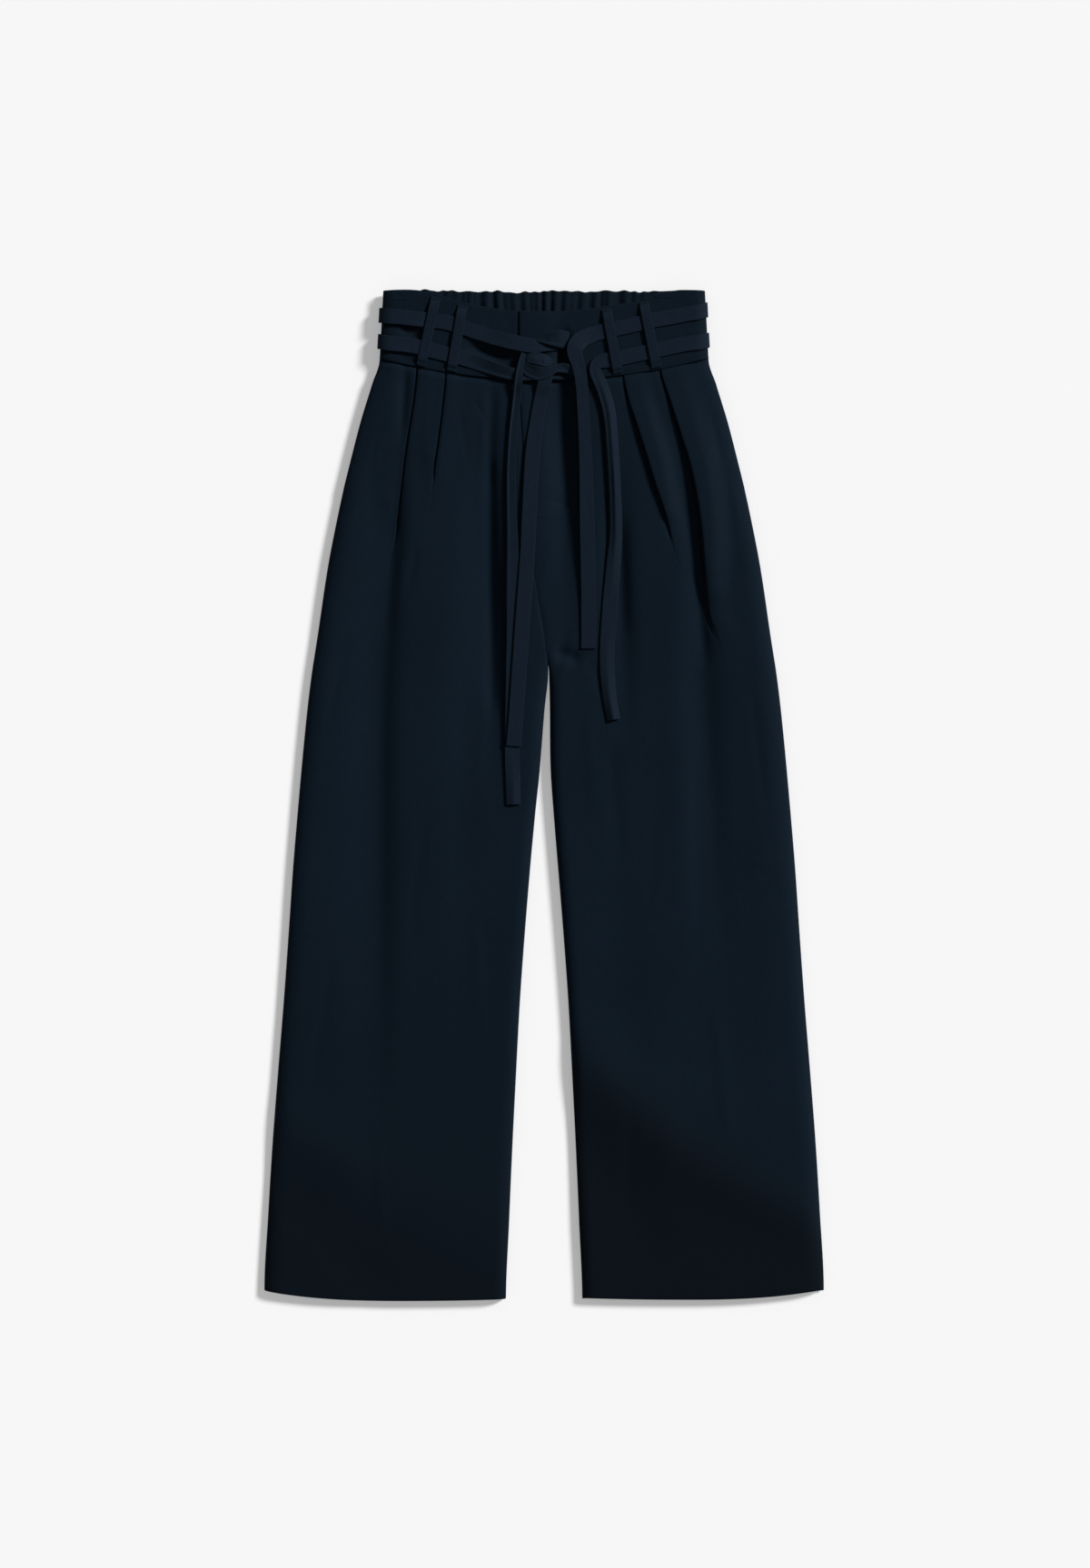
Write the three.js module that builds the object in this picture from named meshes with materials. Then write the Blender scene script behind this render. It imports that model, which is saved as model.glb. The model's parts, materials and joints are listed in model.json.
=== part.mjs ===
// Pleated wide-leg trousers with a tied double belt, laid flat on their back.
// Millimetres: +X to the right, +Y towards the waist, +Z up from the surface they lie on.
import * as THREE from "three";

// Driving dimensions: the cloth's walls, and the narrow pieces' widths
const clothWall = 1.0;
const bandWall = 1.6;
const strapWall = 1.2;
const seamGap = 0.4;
const seamHalf = seamGap / 2;
const strapLift = 1.0;
const strapWidth = 15;
const loopWidth = 10;

// Where the waist's seams and edges run
const frontSeamY = 420;
const backSeamY = 442;
const backBandTopY = 510.7;
const waistTopHalf = 162.8;
const waistSeamHalf = 166.4;
const lapEndX = -24.8;
const lapUnderX = -7;
const lapRise = bandWall + seamGap;
const lapSlope = 26;

// How far in from its edges the cloth turns, and how high the waistband's parts lie
const outerCurl = 18;
const backCurl = 7;
const innerCurl = 12;
const bandCurl = 12;
const bandHeight = 15.2;
const backBandHeight = 5.8;
const bandSeamHeight = 9;
const backStrapHeight = 2.1;

// Elastic gathers, side-seam pockets and the crotch
const gatherPitch = 12.4;
const gatherHeight = 1.8;
const gatherReach = 96;
const pocketTopY = 428;
const pocketEndY = 305;
const pocketSlit = 1.6;
const crotchY = 122;

const hem = {
  lowY: -511.5,
  middleX: 150,
  outerRise: 10.1,
  outerReach: 133,
  innerRise: 1.8,
  innerReach: 112,
  sweep: 2.4,
};

const navy = { color: 0x141f2e, roughness: 0.86, metalness: 0 };

// The outline laid flat: half the outer width, the middle line between the legs, and half the gap at it.
const outline = [
  { y: 442, half: 166.4, middle: -24.2, gap: seamHalf },
  { y: 415, half: 174.4, middle: -23.6, gap: seamHalf },
  { y: 378, half: 185.8, middle: -21.6, gap: seamHalf },
  { y: 341, half: 195.4, middle: -19, gap: seamHalf },
  { y: 305, half: 204.2, middle: -16, gap: seamHalf },
  { y: 268, half: 212, middle: -12.8, gap: seamHalf },
  { y: 231, half: 219, middle: -10, gap: seamHalf },
  { y: 157, half: 230, middle: 1.2, gap: seamHalf },
  { y: crotchY, half: 235.4, middle: 4.6, gap: 0.6 },
  { y: 88, half: 239.6, middle: 3.2, gap: 2.6 },
  { y: 30, half: 245.3, middle: 1.2, gap: 5.2 },
  { y: -21, half: 249.8, middle: 0.3, gap: 9.5 },
  { y: -76, half: 254.3, middle: 0, gap: 14.3 },
  { y: -137, half: 258.4, middle: 0, gap: 19.3 },
  { y: -211, half: 263.6, middle: 0, gap: 24.6 },
  { y: -284, half: 269.4, middle: 0, gap: 28.5 },
  { y: -358, half: 275, middle: 0, gap: 32.2 },
  { y: -431, half: 279.4, middle: 0, gap: 35.4 },
  { y: -512, half: 283.4, middle: 0, gap: 38.6 },
];

// Heights above the surface: the front cloth, the side seam and the back cloth.
const loft = [
  { y: 442, front: 14.4, seam: 9, back: 5.8 },
  { y: 410, front: 14.4, seam: 7.6, back: 3.2 },
  { y: 370, front: 14.3, seam: 6.4, back: 0.5 },
  { y: 250, front: 14, seam: 5.6, back: 0.5 },
  { y: 100, front: 13, seam: 5, back: 0.5 },
  { y: -250, front: 12, seam: 4.8, back: 0.5 },
  { y: -512, front: 11.2, seam: 4.6, back: 0.5 },
];

// The dipping top edge of the front waistband.
const frontTop = [
  { x: -166, y: 510.6 },
  { x: -140, y: 511.2 },
  { x: -115, y: 509 },
  { x: -93, y: 501.5 },
  { x: -60, y: 494 },
  { x: -26, y: 489.8 },
  { x: 5, y: 489.3 },
  { x: 35, y: 490.8 },
  { x: 62, y: 494.6 },
  { x: 93, y: 499.2 },
  { x: 118, y: 507.4 },
  { x: 140, y: 510.9 },
  { x: 166, y: 510.6 },
];

// Knife pleats: the fold's edge, how far the cloth doubles back, the turns' radius and angle in degrees.
const pleats = {
  leftOuter: [
    { y: 436, edge: -129.4, under: 11, radius: 0.72, turn: 180 },
    { y: 401, edge: -132.5, under: 11, radius: 0.78, turn: 180 },
    { y: 373, edge: -137, under: 11, radius: 0.82, turn: 180 },
    { y: 341, edge: -141.7, under: 9, radius: 0.85, turn: 180 },
    { y: 309, edge: -146.3, under: 7, radius: 0.95, turn: 180 },
    { y: 275, edge: -152.6, under: 3, radius: 1.1, turn: 180 },
    { y: 250, edge: -157.6, under: 0.5, radius: 1.3, turn: 160 },
    { y: 215, edge: -163, under: 0, radius: 3, turn: 72 },
    { y: 150, edge: -166, under: 0, radius: 16, turn: 12 },
    { y: -512, edge: -176, under: 0, radius: 16, turn: 7 },
  ],
  leftInner: [
    { y: 430, edge: -100.4, under: 10, radius: 0.68, turn: 180 },
    { y: 392, edge: -103.6, under: 9, radius: 0.7, turn: 180 },
    { y: 372, edge: -106.2, under: 7, radius: 0.75, turn: 180 },
    { y: 352, edge: -108.8, under: 4, radius: 0.8, turn: 180 },
    { y: 326, edge: -112.2, under: 1, radius: 0.9, turn: 170 },
    { y: 293, edge: -116, under: 0, radius: 1.8, turn: 95 },
    { y: 255, edge: -118.7, under: 0, radius: 5, turn: 40 },
    { y: 190, edge: -120, under: 0, radius: 16, turn: 10 },
    { y: -512, edge: -130, under: 0, radius: 16, turn: 7 },
  ],
  rightInner: [
    { y: 430, edge: 80.6, under: 10, radius: 0.68, turn: 180 },
    { y: 400, edge: 85.6, under: 10, radius: 0.8, turn: 180 },
    { y: 382, edge: 91.4, under: 10, radius: 1, turn: 180 },
    { y: 360, edge: 98.4, under: 9, radius: 1.2, turn: 180 },
    { y: 339, edge: 106, under: 8, radius: 1.35, turn: 180 },
    { y: 313, edge: 115.4, under: 5, radius: 1.4, turn: 180 },
    { y: 290, edge: 124.6, under: 1.5, radius: 1.4, turn: 175 },
    { y: 265, edge: 131.8, under: 0, radius: 2.2, turn: 90 },
    { y: 225, edge: 136, under: 0, radius: 12, turn: 18 },
    { y: -512, edge: 140, under: 0, radius: 16, turn: 7 },
  ],
  rightOuter: [
    { y: 433, edge: 118.4, under: 11, radius: 0.68, turn: 180 },
    { y: 401, edge: 127, under: 11, radius: 0.85, turn: 180 },
    { y: 364, edge: 138.6, under: 10, radius: 1.2, turn: 180 },
    { y: 333, edge: 149, under: 9, radius: 1.5, turn: 180 },
    { y: 300, edge: 157, under: 7, radius: 1.7, turn: 180 },
    { y: 272, edge: 161.6, under: 5, radius: 1.75, turn: 180 },
    { y: 240, edge: 166, under: 2, radius: 1.75, turn: 175 },
    { y: 208, edge: 168.4, under: 0, radius: 3, turn: 90 },
    { y: 165, edge: 170, under: 0, radius: 14, turn: 16 },
    { y: -512, edge: 184, under: 0, radius: 16, turn: 7 },
  ],
};

// Soft troughs and ridges of the front: three points down each, its width, its height, and how far
// along it (0 to 1) it is strongest.
const softFolds = [
  // below left outer pleat
  { x: [-146, -152, -133], y: [330, 90, -440], width: 13, height: -3.6, peak: 0.3 },
  // beside left outer pleat
  { x: [-140, -143, -150], y: [452, 410, 350], width: 8, height: -1.2, peak: 0.4 },
  // left hip dent
  { x: [-164, -172, -180], y: [290, 225, 130], width: 8, height: -1.5, peak: 0.4 },
  // left of the tie ends
  { x: [-50, -44, -38], y: [425, 250, -40], width: 11, height: -4.6, peak: 0.55 },
  // left thigh ridge
  { x: [-112, -108, -112], y: [300, 60, -420], width: 24, height: 1.6, peak: 0.35 },
  // left knee trough
  { x: [-84, -82, -84], y: [240, 60, -220], width: 14, height: -1.1, peak: 0.35 },
  // left outer ridge
  { x: [-196, -206, -218], y: [240, 0, -470], width: 22, height: 1.2, peak: 0.4 },
  // centre front trough
  { x: [20, 19, 24], y: [432, 290, 128], width: 9.5, height: -4.8, peak: 0.55 },
  // fly ridge
  { x: [0, 0, 8], y: [425, 290, 150], width: 11, height: 1.4, peak: 0.4 },
  // right thigh trough
  { x: [74, 86, 92], y: [350, 210, 20], width: 13, height: -3.4, peak: 0.4 },
  // right thigh ridge
  { x: [132, 138, 144], y: [290, 130, -240], width: 14, height: 2.6, peak: 0.3 },
  // beside right outer pleat
  { x: [132, 151, 158], y: [400, 250, 120], width: 9, height: -3.4, peak: 0.6 },
  // below right outer pleat
  { x: [162, 172, 184], y: [230, 60, -200], width: 12, height: -2.6, peak: 0.3 },
  // right outer ridge
  { x: [206, 220, 236], y: [230, 60, -420], width: 20, height: 1.4, peak: 0.35 },
  // right knee trough
  { x: [66, 74, 96], y: [60, -120, -470], width: 26, height: -1.2, peak: 0.5 },
];

// Small maths
const mix = (a, b, t) => a + (b - a) * t;
const radians = THREE.MathUtils.degToRad;

function smooth(t) {
  const held = Math.min(1, Math.max(0, t));
  return held * held * (3 - 2 * held);
}

// The slope at a table's row that lets a curve pass through without overshooting.
function slopeAt(rows, key, by, i) {
  if (i === 0 || i === rows.length - 1) return 0;
  const before = (rows[i][key] - rows[i - 1][key]) / (rows[i][by] - rows[i - 1][by]);
  const after = (rows[i + 1][key] - rows[i][key]) / (rows[i + 1][by] - rows[i][by]);
  return before * after <= 0 ? 0 : (2 * before * after) / (before + after);
}

// One column of a table, read between its rows by a smooth curve.
function read(rows, key, at, by = "y") {
  const rising = rows[0][by] < rows[rows.length - 1][by];
  const isPast = (row) => (rising ? row[by] >= at : row[by] <= at);
  let i = rows.findIndex(isPast);
  if (i === -1) return rows[rows.length - 1][key];
  if (i === 0) return rows[0][key];
  i -= 1;
  const span = rows[i + 1][by] - rows[i][by];
  const t = (at - rows[i][by]) / span;
  const start = rows[i][key];
  const end = rows[i + 1][key];
  const startSlope = slopeAt(rows, key, by, i) * span;
  const endSlope = slopeAt(rows, key, by, i + 1) * span;
  const rise = t * t * (3 - 2 * t);
  return mix(start, end, rise) + startSlope * t * (1 - t) ** 2 - endSlope * t * t * (1 - t);
}

// Where the cloth lies
function seamY(x) {
  return mix(frontSeamY, backSeamY, Math.min(1, Math.abs(x) / waistSeamHalf) ** 2);
}

// Half the waistband's outer width, which narrows a little towards its top.
function waistHalf(y) {
  return mix(waistSeamHalf, waistTopHalf, (y - backSeamY) / (backBandTopY - backSeamY));
}

// The hem, lowest in the middle of a leg and higher at its side seam.
function hemY(x) {
  const off = Math.abs(x) - hem.middleX;
  const rise = off > 0 ? hem.outerRise : hem.innerRise;
  const reach = off > 0 ? hem.outerReach : hem.innerReach;
  return hem.lowY + rise * Math.abs(off / reach) ** hem.sweep;
}

function foldHeight(x, y) {
  return softFolds.reduce((sum, f) => {
    if (y >= f.y[0] || y <= f.y[2]) return sum;
    const t = (f.y[0] - y) / (f.y[0] - f.y[2]);
    const bend = (f.y[0] - f.y[1]) / (f.y[0] - f.y[2]);
    const upper = mix(f.x[0], f.x[1], t / bend);
    const centre = t < bend ? upper : mix(f.x[1], f.x[2], (t - bend) / (1 - bend));
    const strength = t < f.peak ? smooth(t / f.peak) : smooth((1 - t) / (1 - f.peak));
    return sum + f.height * strength * Math.exp(-(((x - centre) / f.width) ** 2));
  }, 0);
}

function frontHeight(x, y) {
  return read(loft, "front", y) + foldHeight(x, y);
}

// How far the waistband's right half rises to lap over its left half, and falls off beyond its end.
function lapHeight(x) {
  const off = Math.max(x - lapUnderX - 4, lapEndX - x);
  return lapRise * (1 - smooth(off / lapSlope));
}

// The upper face of what the straps and loops lie on, eased over the step at the waist seam.
function carrier(x, y) {
  const onBand = bandHeight + bandWall / 2 + lapHeight(x);
  const onLeg = frontHeight(x, y) + clothWall / 2;
  return mix(onLeg, onBand, smooth((y - seamY(x) + 8) / 10));
}

// The direction of a line of points at one of them, and how much a mitre there lengthens an offset.
function bendAt(points, i) {
  const last = points.length - 1;
  const step = (from, to) => points[to].clone().sub(points[from]);
  if (i > 0 && i < last) {
    const into = step(i - 1, i).normalize();
    const out = step(i, i + 1).normalize();
    const mitre = 1 / Math.sqrt(Math.max(0.5, (1 + into.dot(out)) / 2));
    return { ahead: into.add(out).normalize(), mitre };
  }
  const [a, b, c] = i === 0 ? [0, 1, 2] : [last, last - 1, last - 2];
  const near = step(a, b);
  const next = step(b, c);
  const turned = near.normalize().multiplyScalar(2).sub(next.normalize());
  const easing = near.dot(next) > 0.3 ? turned : near;
  return { ahead: easing.normalize().multiplyScalar(i === 0 ? 1 : -1), mitre: 1 };
}

// A closed wall of cloth around a grid of points on its middle surface.
function wallGeometry(grid, wall) {
  const rows = grid.length;
  const columns = grid[0].length;
  const lines = grid[0].map((_, j) => grid.map((row) => row[j]));
  const positions = [];
  for (const face of [1, -1]) {
    for (let i = 0; i < rows; i += 1) {
      for (let j = 0; j < columns; j += 1) {
        const across = bendAt(grid[i], j);
        const down = bendAt(lines[j], i);
        const normal = across.ahead.cross(down.ahead).normalize();
        const offset = (face * wall * across.mitre * down.mitre) / 2;
        const point = grid[i][j].clone().addScaledVector(normal, offset);
        positions.push(point.x, point.y, point.z);
      }
    }
  }
  const index = [];
  const vertex = (face, i, j) => face * rows * columns + i * columns + j;
  const quad = (a, b, c, d) => index.push(a, b, c, a, c, d);
  const lastRow = rows - 1;
  const lastColumn = columns - 1;
  for (let i = 0; i < lastRow; i += 1) {
    for (let j = 0; j < lastColumn; j += 1) {
      quad(vertex(0, i, j), vertex(0, i, j + 1), vertex(0, i + 1, j + 1), vertex(0, i + 1, j));
      quad(vertex(1, i, j), vertex(1, i + 1, j), vertex(1, i + 1, j + 1), vertex(1, i, j + 1));
    }
    quad(vertex(0, i + 1, 0), vertex(1, i + 1, 0), vertex(1, i, 0), vertex(0, i, 0));
    const [near, far] = [vertex(0, i, lastColumn), vertex(1, i, lastColumn)];
    quad(near, far, far + columns, near + columns);
  }
  for (let j = 0; j < lastColumn; j += 1) {
    quad(vertex(0, 0, j), vertex(1, 0, j), vertex(1, 0, j + 1), vertex(0, 0, j + 1));
    const [near, far] = [vertex(0, lastRow, j), vertex(1, lastRow, j)];
    quad(near + 1, far + 1, far, near);
  }
  if (enclosedVolume(positions, index) < 0) {
    for (let k = 0; k < index.length; k += 3) [index[k + 1], index[k + 2]] = [index[k + 2], index[k + 1]];
  }
  const geometry = new THREE.BufferGeometry();
  geometry.setAttribute("position", new THREE.Float32BufferAttribute(positions, 3));
  geometry.setIndex(index);
  return geometry;
}

function enclosedVolume(positions, index) {
  const corner = (k) => new THREE.Vector3().fromArray(positions, index[k] * 3);
  let six = 0;
  for (let k = 0; k < index.length; k += 3) six += corner(k).dot(corner(k + 1).cross(corner(k + 2)));
  return six / 6;
}

// Pleat sections
// The steps of one knife pleat, from its upper layer to its lower one: how far inwards, and the level.
// Two turns with the doubled cloth between them; where the pleat has opened out they become a soft step.
function pleatSteps(rows, y, arcSteps) {
  const radius = read(rows, "radius", y);
  const turn = radians(read(rows, "turn", y));
  const under = read(rows, "under", y);
  const drop = 2 * radius * (1 - Math.cos(turn)) + under * Math.sin(turn);
  const steps = [];
  for (let k = 0; k <= arcSteps; k += 1) {
    const angle = (turn * k) / arcSteps;
    steps.push({ inward: radius * Math.sin(angle), level: drop - radius * (1 - Math.cos(angle)) });
  }
  const fold = steps[arcSteps];
  const backInward = fold.inward + under * Math.cos(turn);
  const backLevel = fold.level - under * Math.sin(turn);
  for (let k = 0; k <= arcSteps; k += 1) {
    const angle = turn * (1 - k / arcSteps);
    const inward = backInward + radius * (Math.sin(turn) - Math.sin(angle));
    const level = backLevel - radius * (Math.cos(angle) - Math.cos(turn));
    if (k > 0 || under > 0.2) steps.push({ inward, level });
    else steps.push({ inward: inward + 0.05 * Math.cos(turn), level: level - 0.05 * Math.sin(turn) });
  }
  return { steps, radius, under, drop };
}

// The upper layer keeps the pleat's level over the doubled cloth, then eases down away from it.
function rampLevel(pleat, distance, length) {
  return pleat.drop * (1 - smooth((distance - pleat.under - 2) / length));
}

// How finely a front panel is divided, down it and across each of its parts.
const frontCounts = { rows: 25, crowding: 1.5, curl: 4, outer: 3, arc: 3, between: 3, centre: 8, inner: 2 };

// One row of a front panel, from its side seam in to the centre front or the inseam.
function frontRow(panel, v, counts) {
  const { side } = panel;
  const yMiddle = mix(seamY(100), hemY(hem.middleX), v);
  const rowY = (x) => mix(seamY(x) - seamHalf, hemY(x), v);
  const yOuter = rowY(side * read(outline, "half", yMiddle));
  const outerX = read(outline, "half", yOuter) - clothWall / 2;
  const yInner = rowY(read(outline, "middle", yMiddle) + side * read(outline, "gap", yMiddle));
  const innerX = side * read(outline, "middle", yInner) + read(outline, "gap", yInner);
  const turnedIn = legShare(yInner);
  const innerEnd = innerX + (turnedIn * clothWall) / 2;
  const width = outerX - innerEnd;

  const pleatHere = (rows) => {
    const y = rowY(read(rows, "edge", yMiddle));
    const pleat = pleatSteps(rows, y, counts.arc);
    return { ...pleat, at: outerX - side * read(rows, "edge", y) - pleat.radius };
  };
  const outerPleat = pleatHere(panel.outer);
  const innerPleat = pleatHere(panel.inner);
  const innerRamp = (d) => rampLevel(innerPleat, innerPleat.at - d, 15);
  const outerRamp = (d) => rampLevel(outerPleat, outerPleat.at - d, 24);

  const points = [];
  const put = (d, level) => {
    const x = side * (outerX - d);
    const y = rowY(x);
    points.push(new THREE.Vector3(x, y, frontHeight(x, y) + level));
  };
  const putCurl = (angle, d, low, level) => {
    put(d, level);
    const last = points[points.length - 1];
    last.z = mix(low, last.z, Math.sin(angle));
  };
  const pocket = pocketSlit * pocketWindow(yOuter);
  const seamHigh = read(loft, "seam", yOuter) + seamHalf + pocket;
  for (let k = 0; k <= counts.curl; k += 1) {
    const angle = (Math.PI / 2) * (k / counts.curl);
    const d = outerCurl * (1 - Math.cos(angle));
    putCurl(angle, d, seamHigh, outerRamp(d) + innerRamp(d));
  }
  for (let k = 1; k < counts.outer; k += 1) {
    const d = mix(outerCurl, outerPleat.at, k / counts.outer);
    put(d, outerRamp(d) + innerRamp(d));
  }
  for (const step of outerPleat.steps) {
    const d = outerPleat.at + step.inward;
    put(d, step.level + innerRamp(d));
  }
  const afterOuter = outerPleat.at + outerPleat.steps[outerPleat.steps.length - 1].inward;
  for (let k = 1; k < counts.between; k += 1) {
    const d = mix(afterOuter, innerPleat.at, k / counts.between);
    put(d, innerRamp(d));
  }
  for (const step of innerPleat.steps) put(innerPleat.at + step.inward, step.level);
  const afterInner = innerPleat.at + innerPleat.steps[innerPleat.steps.length - 1].inward;
  for (let k = 1; k < counts.centre; k += 1) {
    put(mix(afterInner, width - innerCurl, k / counts.centre), 0);
  }
  const innerLow = read(loft, "seam", yInner) + seamHalf;
  for (let k = counts.inner; k >= 0; k -= 1) {
    const angle = (Math.PI / 2) * (k / counts.inner);
    put(width - innerCurl * (1 - Math.cos(angle)), 0);
    const last = points[points.length - 1];
    last.z = mix(last.z, mix(innerLow, last.z, Math.sin(angle)), turnedIn);
  }
  return points;
}

// 0 above the crotch, where left and right join, growing to 1 below it, where each leg closes round.
function legShare(y) {
  return smooth((crotchY + 28 - y) / 50);
}

// 1 along the mouth of a side-seam pocket, fading out at its ends.
function pocketWindow(y) {
  return smooth((y - pocketEndY) / 8) * smooth((pocketTopY - y) / 8);
}

function frontPanel(panel) {
  const { rows, crowding } = frontCounts;
  const grid = [];
  for (let i = 0; i <= rows; i += 1) grid.push(frontRow(panel, (i / rows) ** crowding, frontCounts));
  return wallGeometry(grid, clothWall);
}

// One row of a back panel, which lies flat and turns up at its edges.
function backRow(side, v) {
  const rowY = (x) => mix(backSeamY - seamHalf, hemY(x), v);
  const yMiddle = rowY(hem.middleX);
  const outerX = read(outline, "half", yMiddle) - clothWall / 2;
  const turnedIn = legShare(yMiddle);
  const seat = smooth((300 - yMiddle) / 180);
  const middle = read(outline, "middle", Math.min(yMiddle, crotchY)) * seat;
  const innerX = side * middle + read(outline, "gap", yMiddle);
  const width = outerX - innerX - (turnedIn * clothWall) / 2;
  const flat = read(loft, "back", yMiddle);
  const high = read(loft, "seam", yMiddle) - seamHalf;
  const points = [];
  const put = (d, z) => {
    const x = side * (outerX - d);
    points.push(new THREE.Vector3(x, rowY(x), z));
  };
  const curlSteps = 3;
  for (let k = 0; k <= curlSteps; k += 1) {
    const angle = (Math.PI / 2) * (k / curlSteps);
    put(backCurl * (1 - Math.cos(angle)), mix(high, flat, Math.sin(angle)));
  }
  const flatSteps = 6;
  for (let k = 1; k < flatSteps; k += 1) put(mix(backCurl, width - backCurl, k / flatSteps), flat);
  for (let k = curlSteps; k >= 0; k -= 1) {
    const angle = (Math.PI / 2) * (k / curlSteps);
    const z = mix(flat, mix(high, flat, Math.sin(angle)), turnedIn);
    put(width - backCurl * (1 - Math.cos(angle)), z);
  }
  return points;
}

function backPanel(side) {
  const rows = 15;
  const grid = [];
  for (let i = 0; i <= rows; i += 1) grid.push(backRow(side, i / rows));
  return wallGeometry(grid, clothWall);
}

// One row of the front waistband, from its side seam to its end at the centre front.
function frontBandRow(side, endX, v) {
  const rowY = (x) => mix(read(frontTop, "y", x, "x"), seamY(x) + seamHalf, v);
  const outerX = waistHalf(mix(backBandTopY, backSeamY, v)) - bandWall / 2;
  const points = [];
  const put = (x, z) => points.push(new THREE.Vector3(x, rowY(x), z));
  const curlSteps = 4;
  for (let k = 0; k <= curlSteps; k += 1) {
    const angle = (Math.PI / 2) * (k / curlSteps);
    const x = side * (outerX - bandCurl * (1 - Math.cos(angle)));
    put(x, mix(bandSeamHeight + seamHalf, bandHeight, Math.sin(angle)));
  }
  const flatSteps = 15;
  const startX = side * (outerX - bandCurl);
  for (let k = 1; k <= flatSteps; k += 1) {
    const x = mix(startX, endX, k / flatSteps);
    put(x, bandHeight + (side > 0 ? lapHeight(x) : 0));
  }
  return points;
}

function frontBand(side, endX) {
  const rows = 4;
  const grid = [];
  for (let i = 0; i <= rows; i += 1) grid.push(frontBandRow(side, endX, i / rows));
  return wallGeometry(grid, bandWall);
}

// The uneven waves that the elastic gathers into the back waistband.
function gather(x) {
  const calm = 1 - smooth((Math.abs(x) - gatherReach) / 36);
  const uneven = x + 2.4 * Math.sin(x / 19) + 1.3 * Math.sin(x / 7.7);
  return calm * gatherHeight * Math.sin((2 * Math.PI * uneven) / gatherPitch);
}

function backBandTop(x) {
  return backBandTopY + 0.5 * Math.sin(x / 9) + 0.3 * Math.sin(x / 4.1);
}

function backBand() {
  const rows = 2;
  const halfColumns = 52;
  const curlSteps = 3;
  const grid = [];
  for (let i = 0; i <= rows; i += 1) {
    const v = i / rows;
    const outerX = waistHalf(mix(backBandTopY, backSeamY, v)) - bandWall / 2;
    const points = [];
    const rowY = (x) => mix(backBandTop(x), backSeamY + seamHalf, v);
    const put = (x, z) => points.push(new THREE.Vector3(x, rowY(x), z));
    const curl = (side, k) => {
      const angle = (Math.PI / 2) * (k / curlSteps);
      const z = mix(bandSeamHeight - seamHalf, backBandHeight, Math.sin(angle));
      put(side * (outerX - backCurl * (1 - Math.cos(angle))), z);
    };
    for (let k = 0; k <= curlSteps; k += 1) curl(-1, k);
    for (let k = 1 - halfColumns; k < halfColumns; k += 1) {
      const x = ((outerX - backCurl) * k) / halfColumns;
      put(x, backBandHeight + gather(x));
    }
    for (let k = curlSteps; k >= 0; k -= 1) curl(1, k);
    grid.push(points);
  }
  return wallGeometry(grid, bandWall);
}

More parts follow.
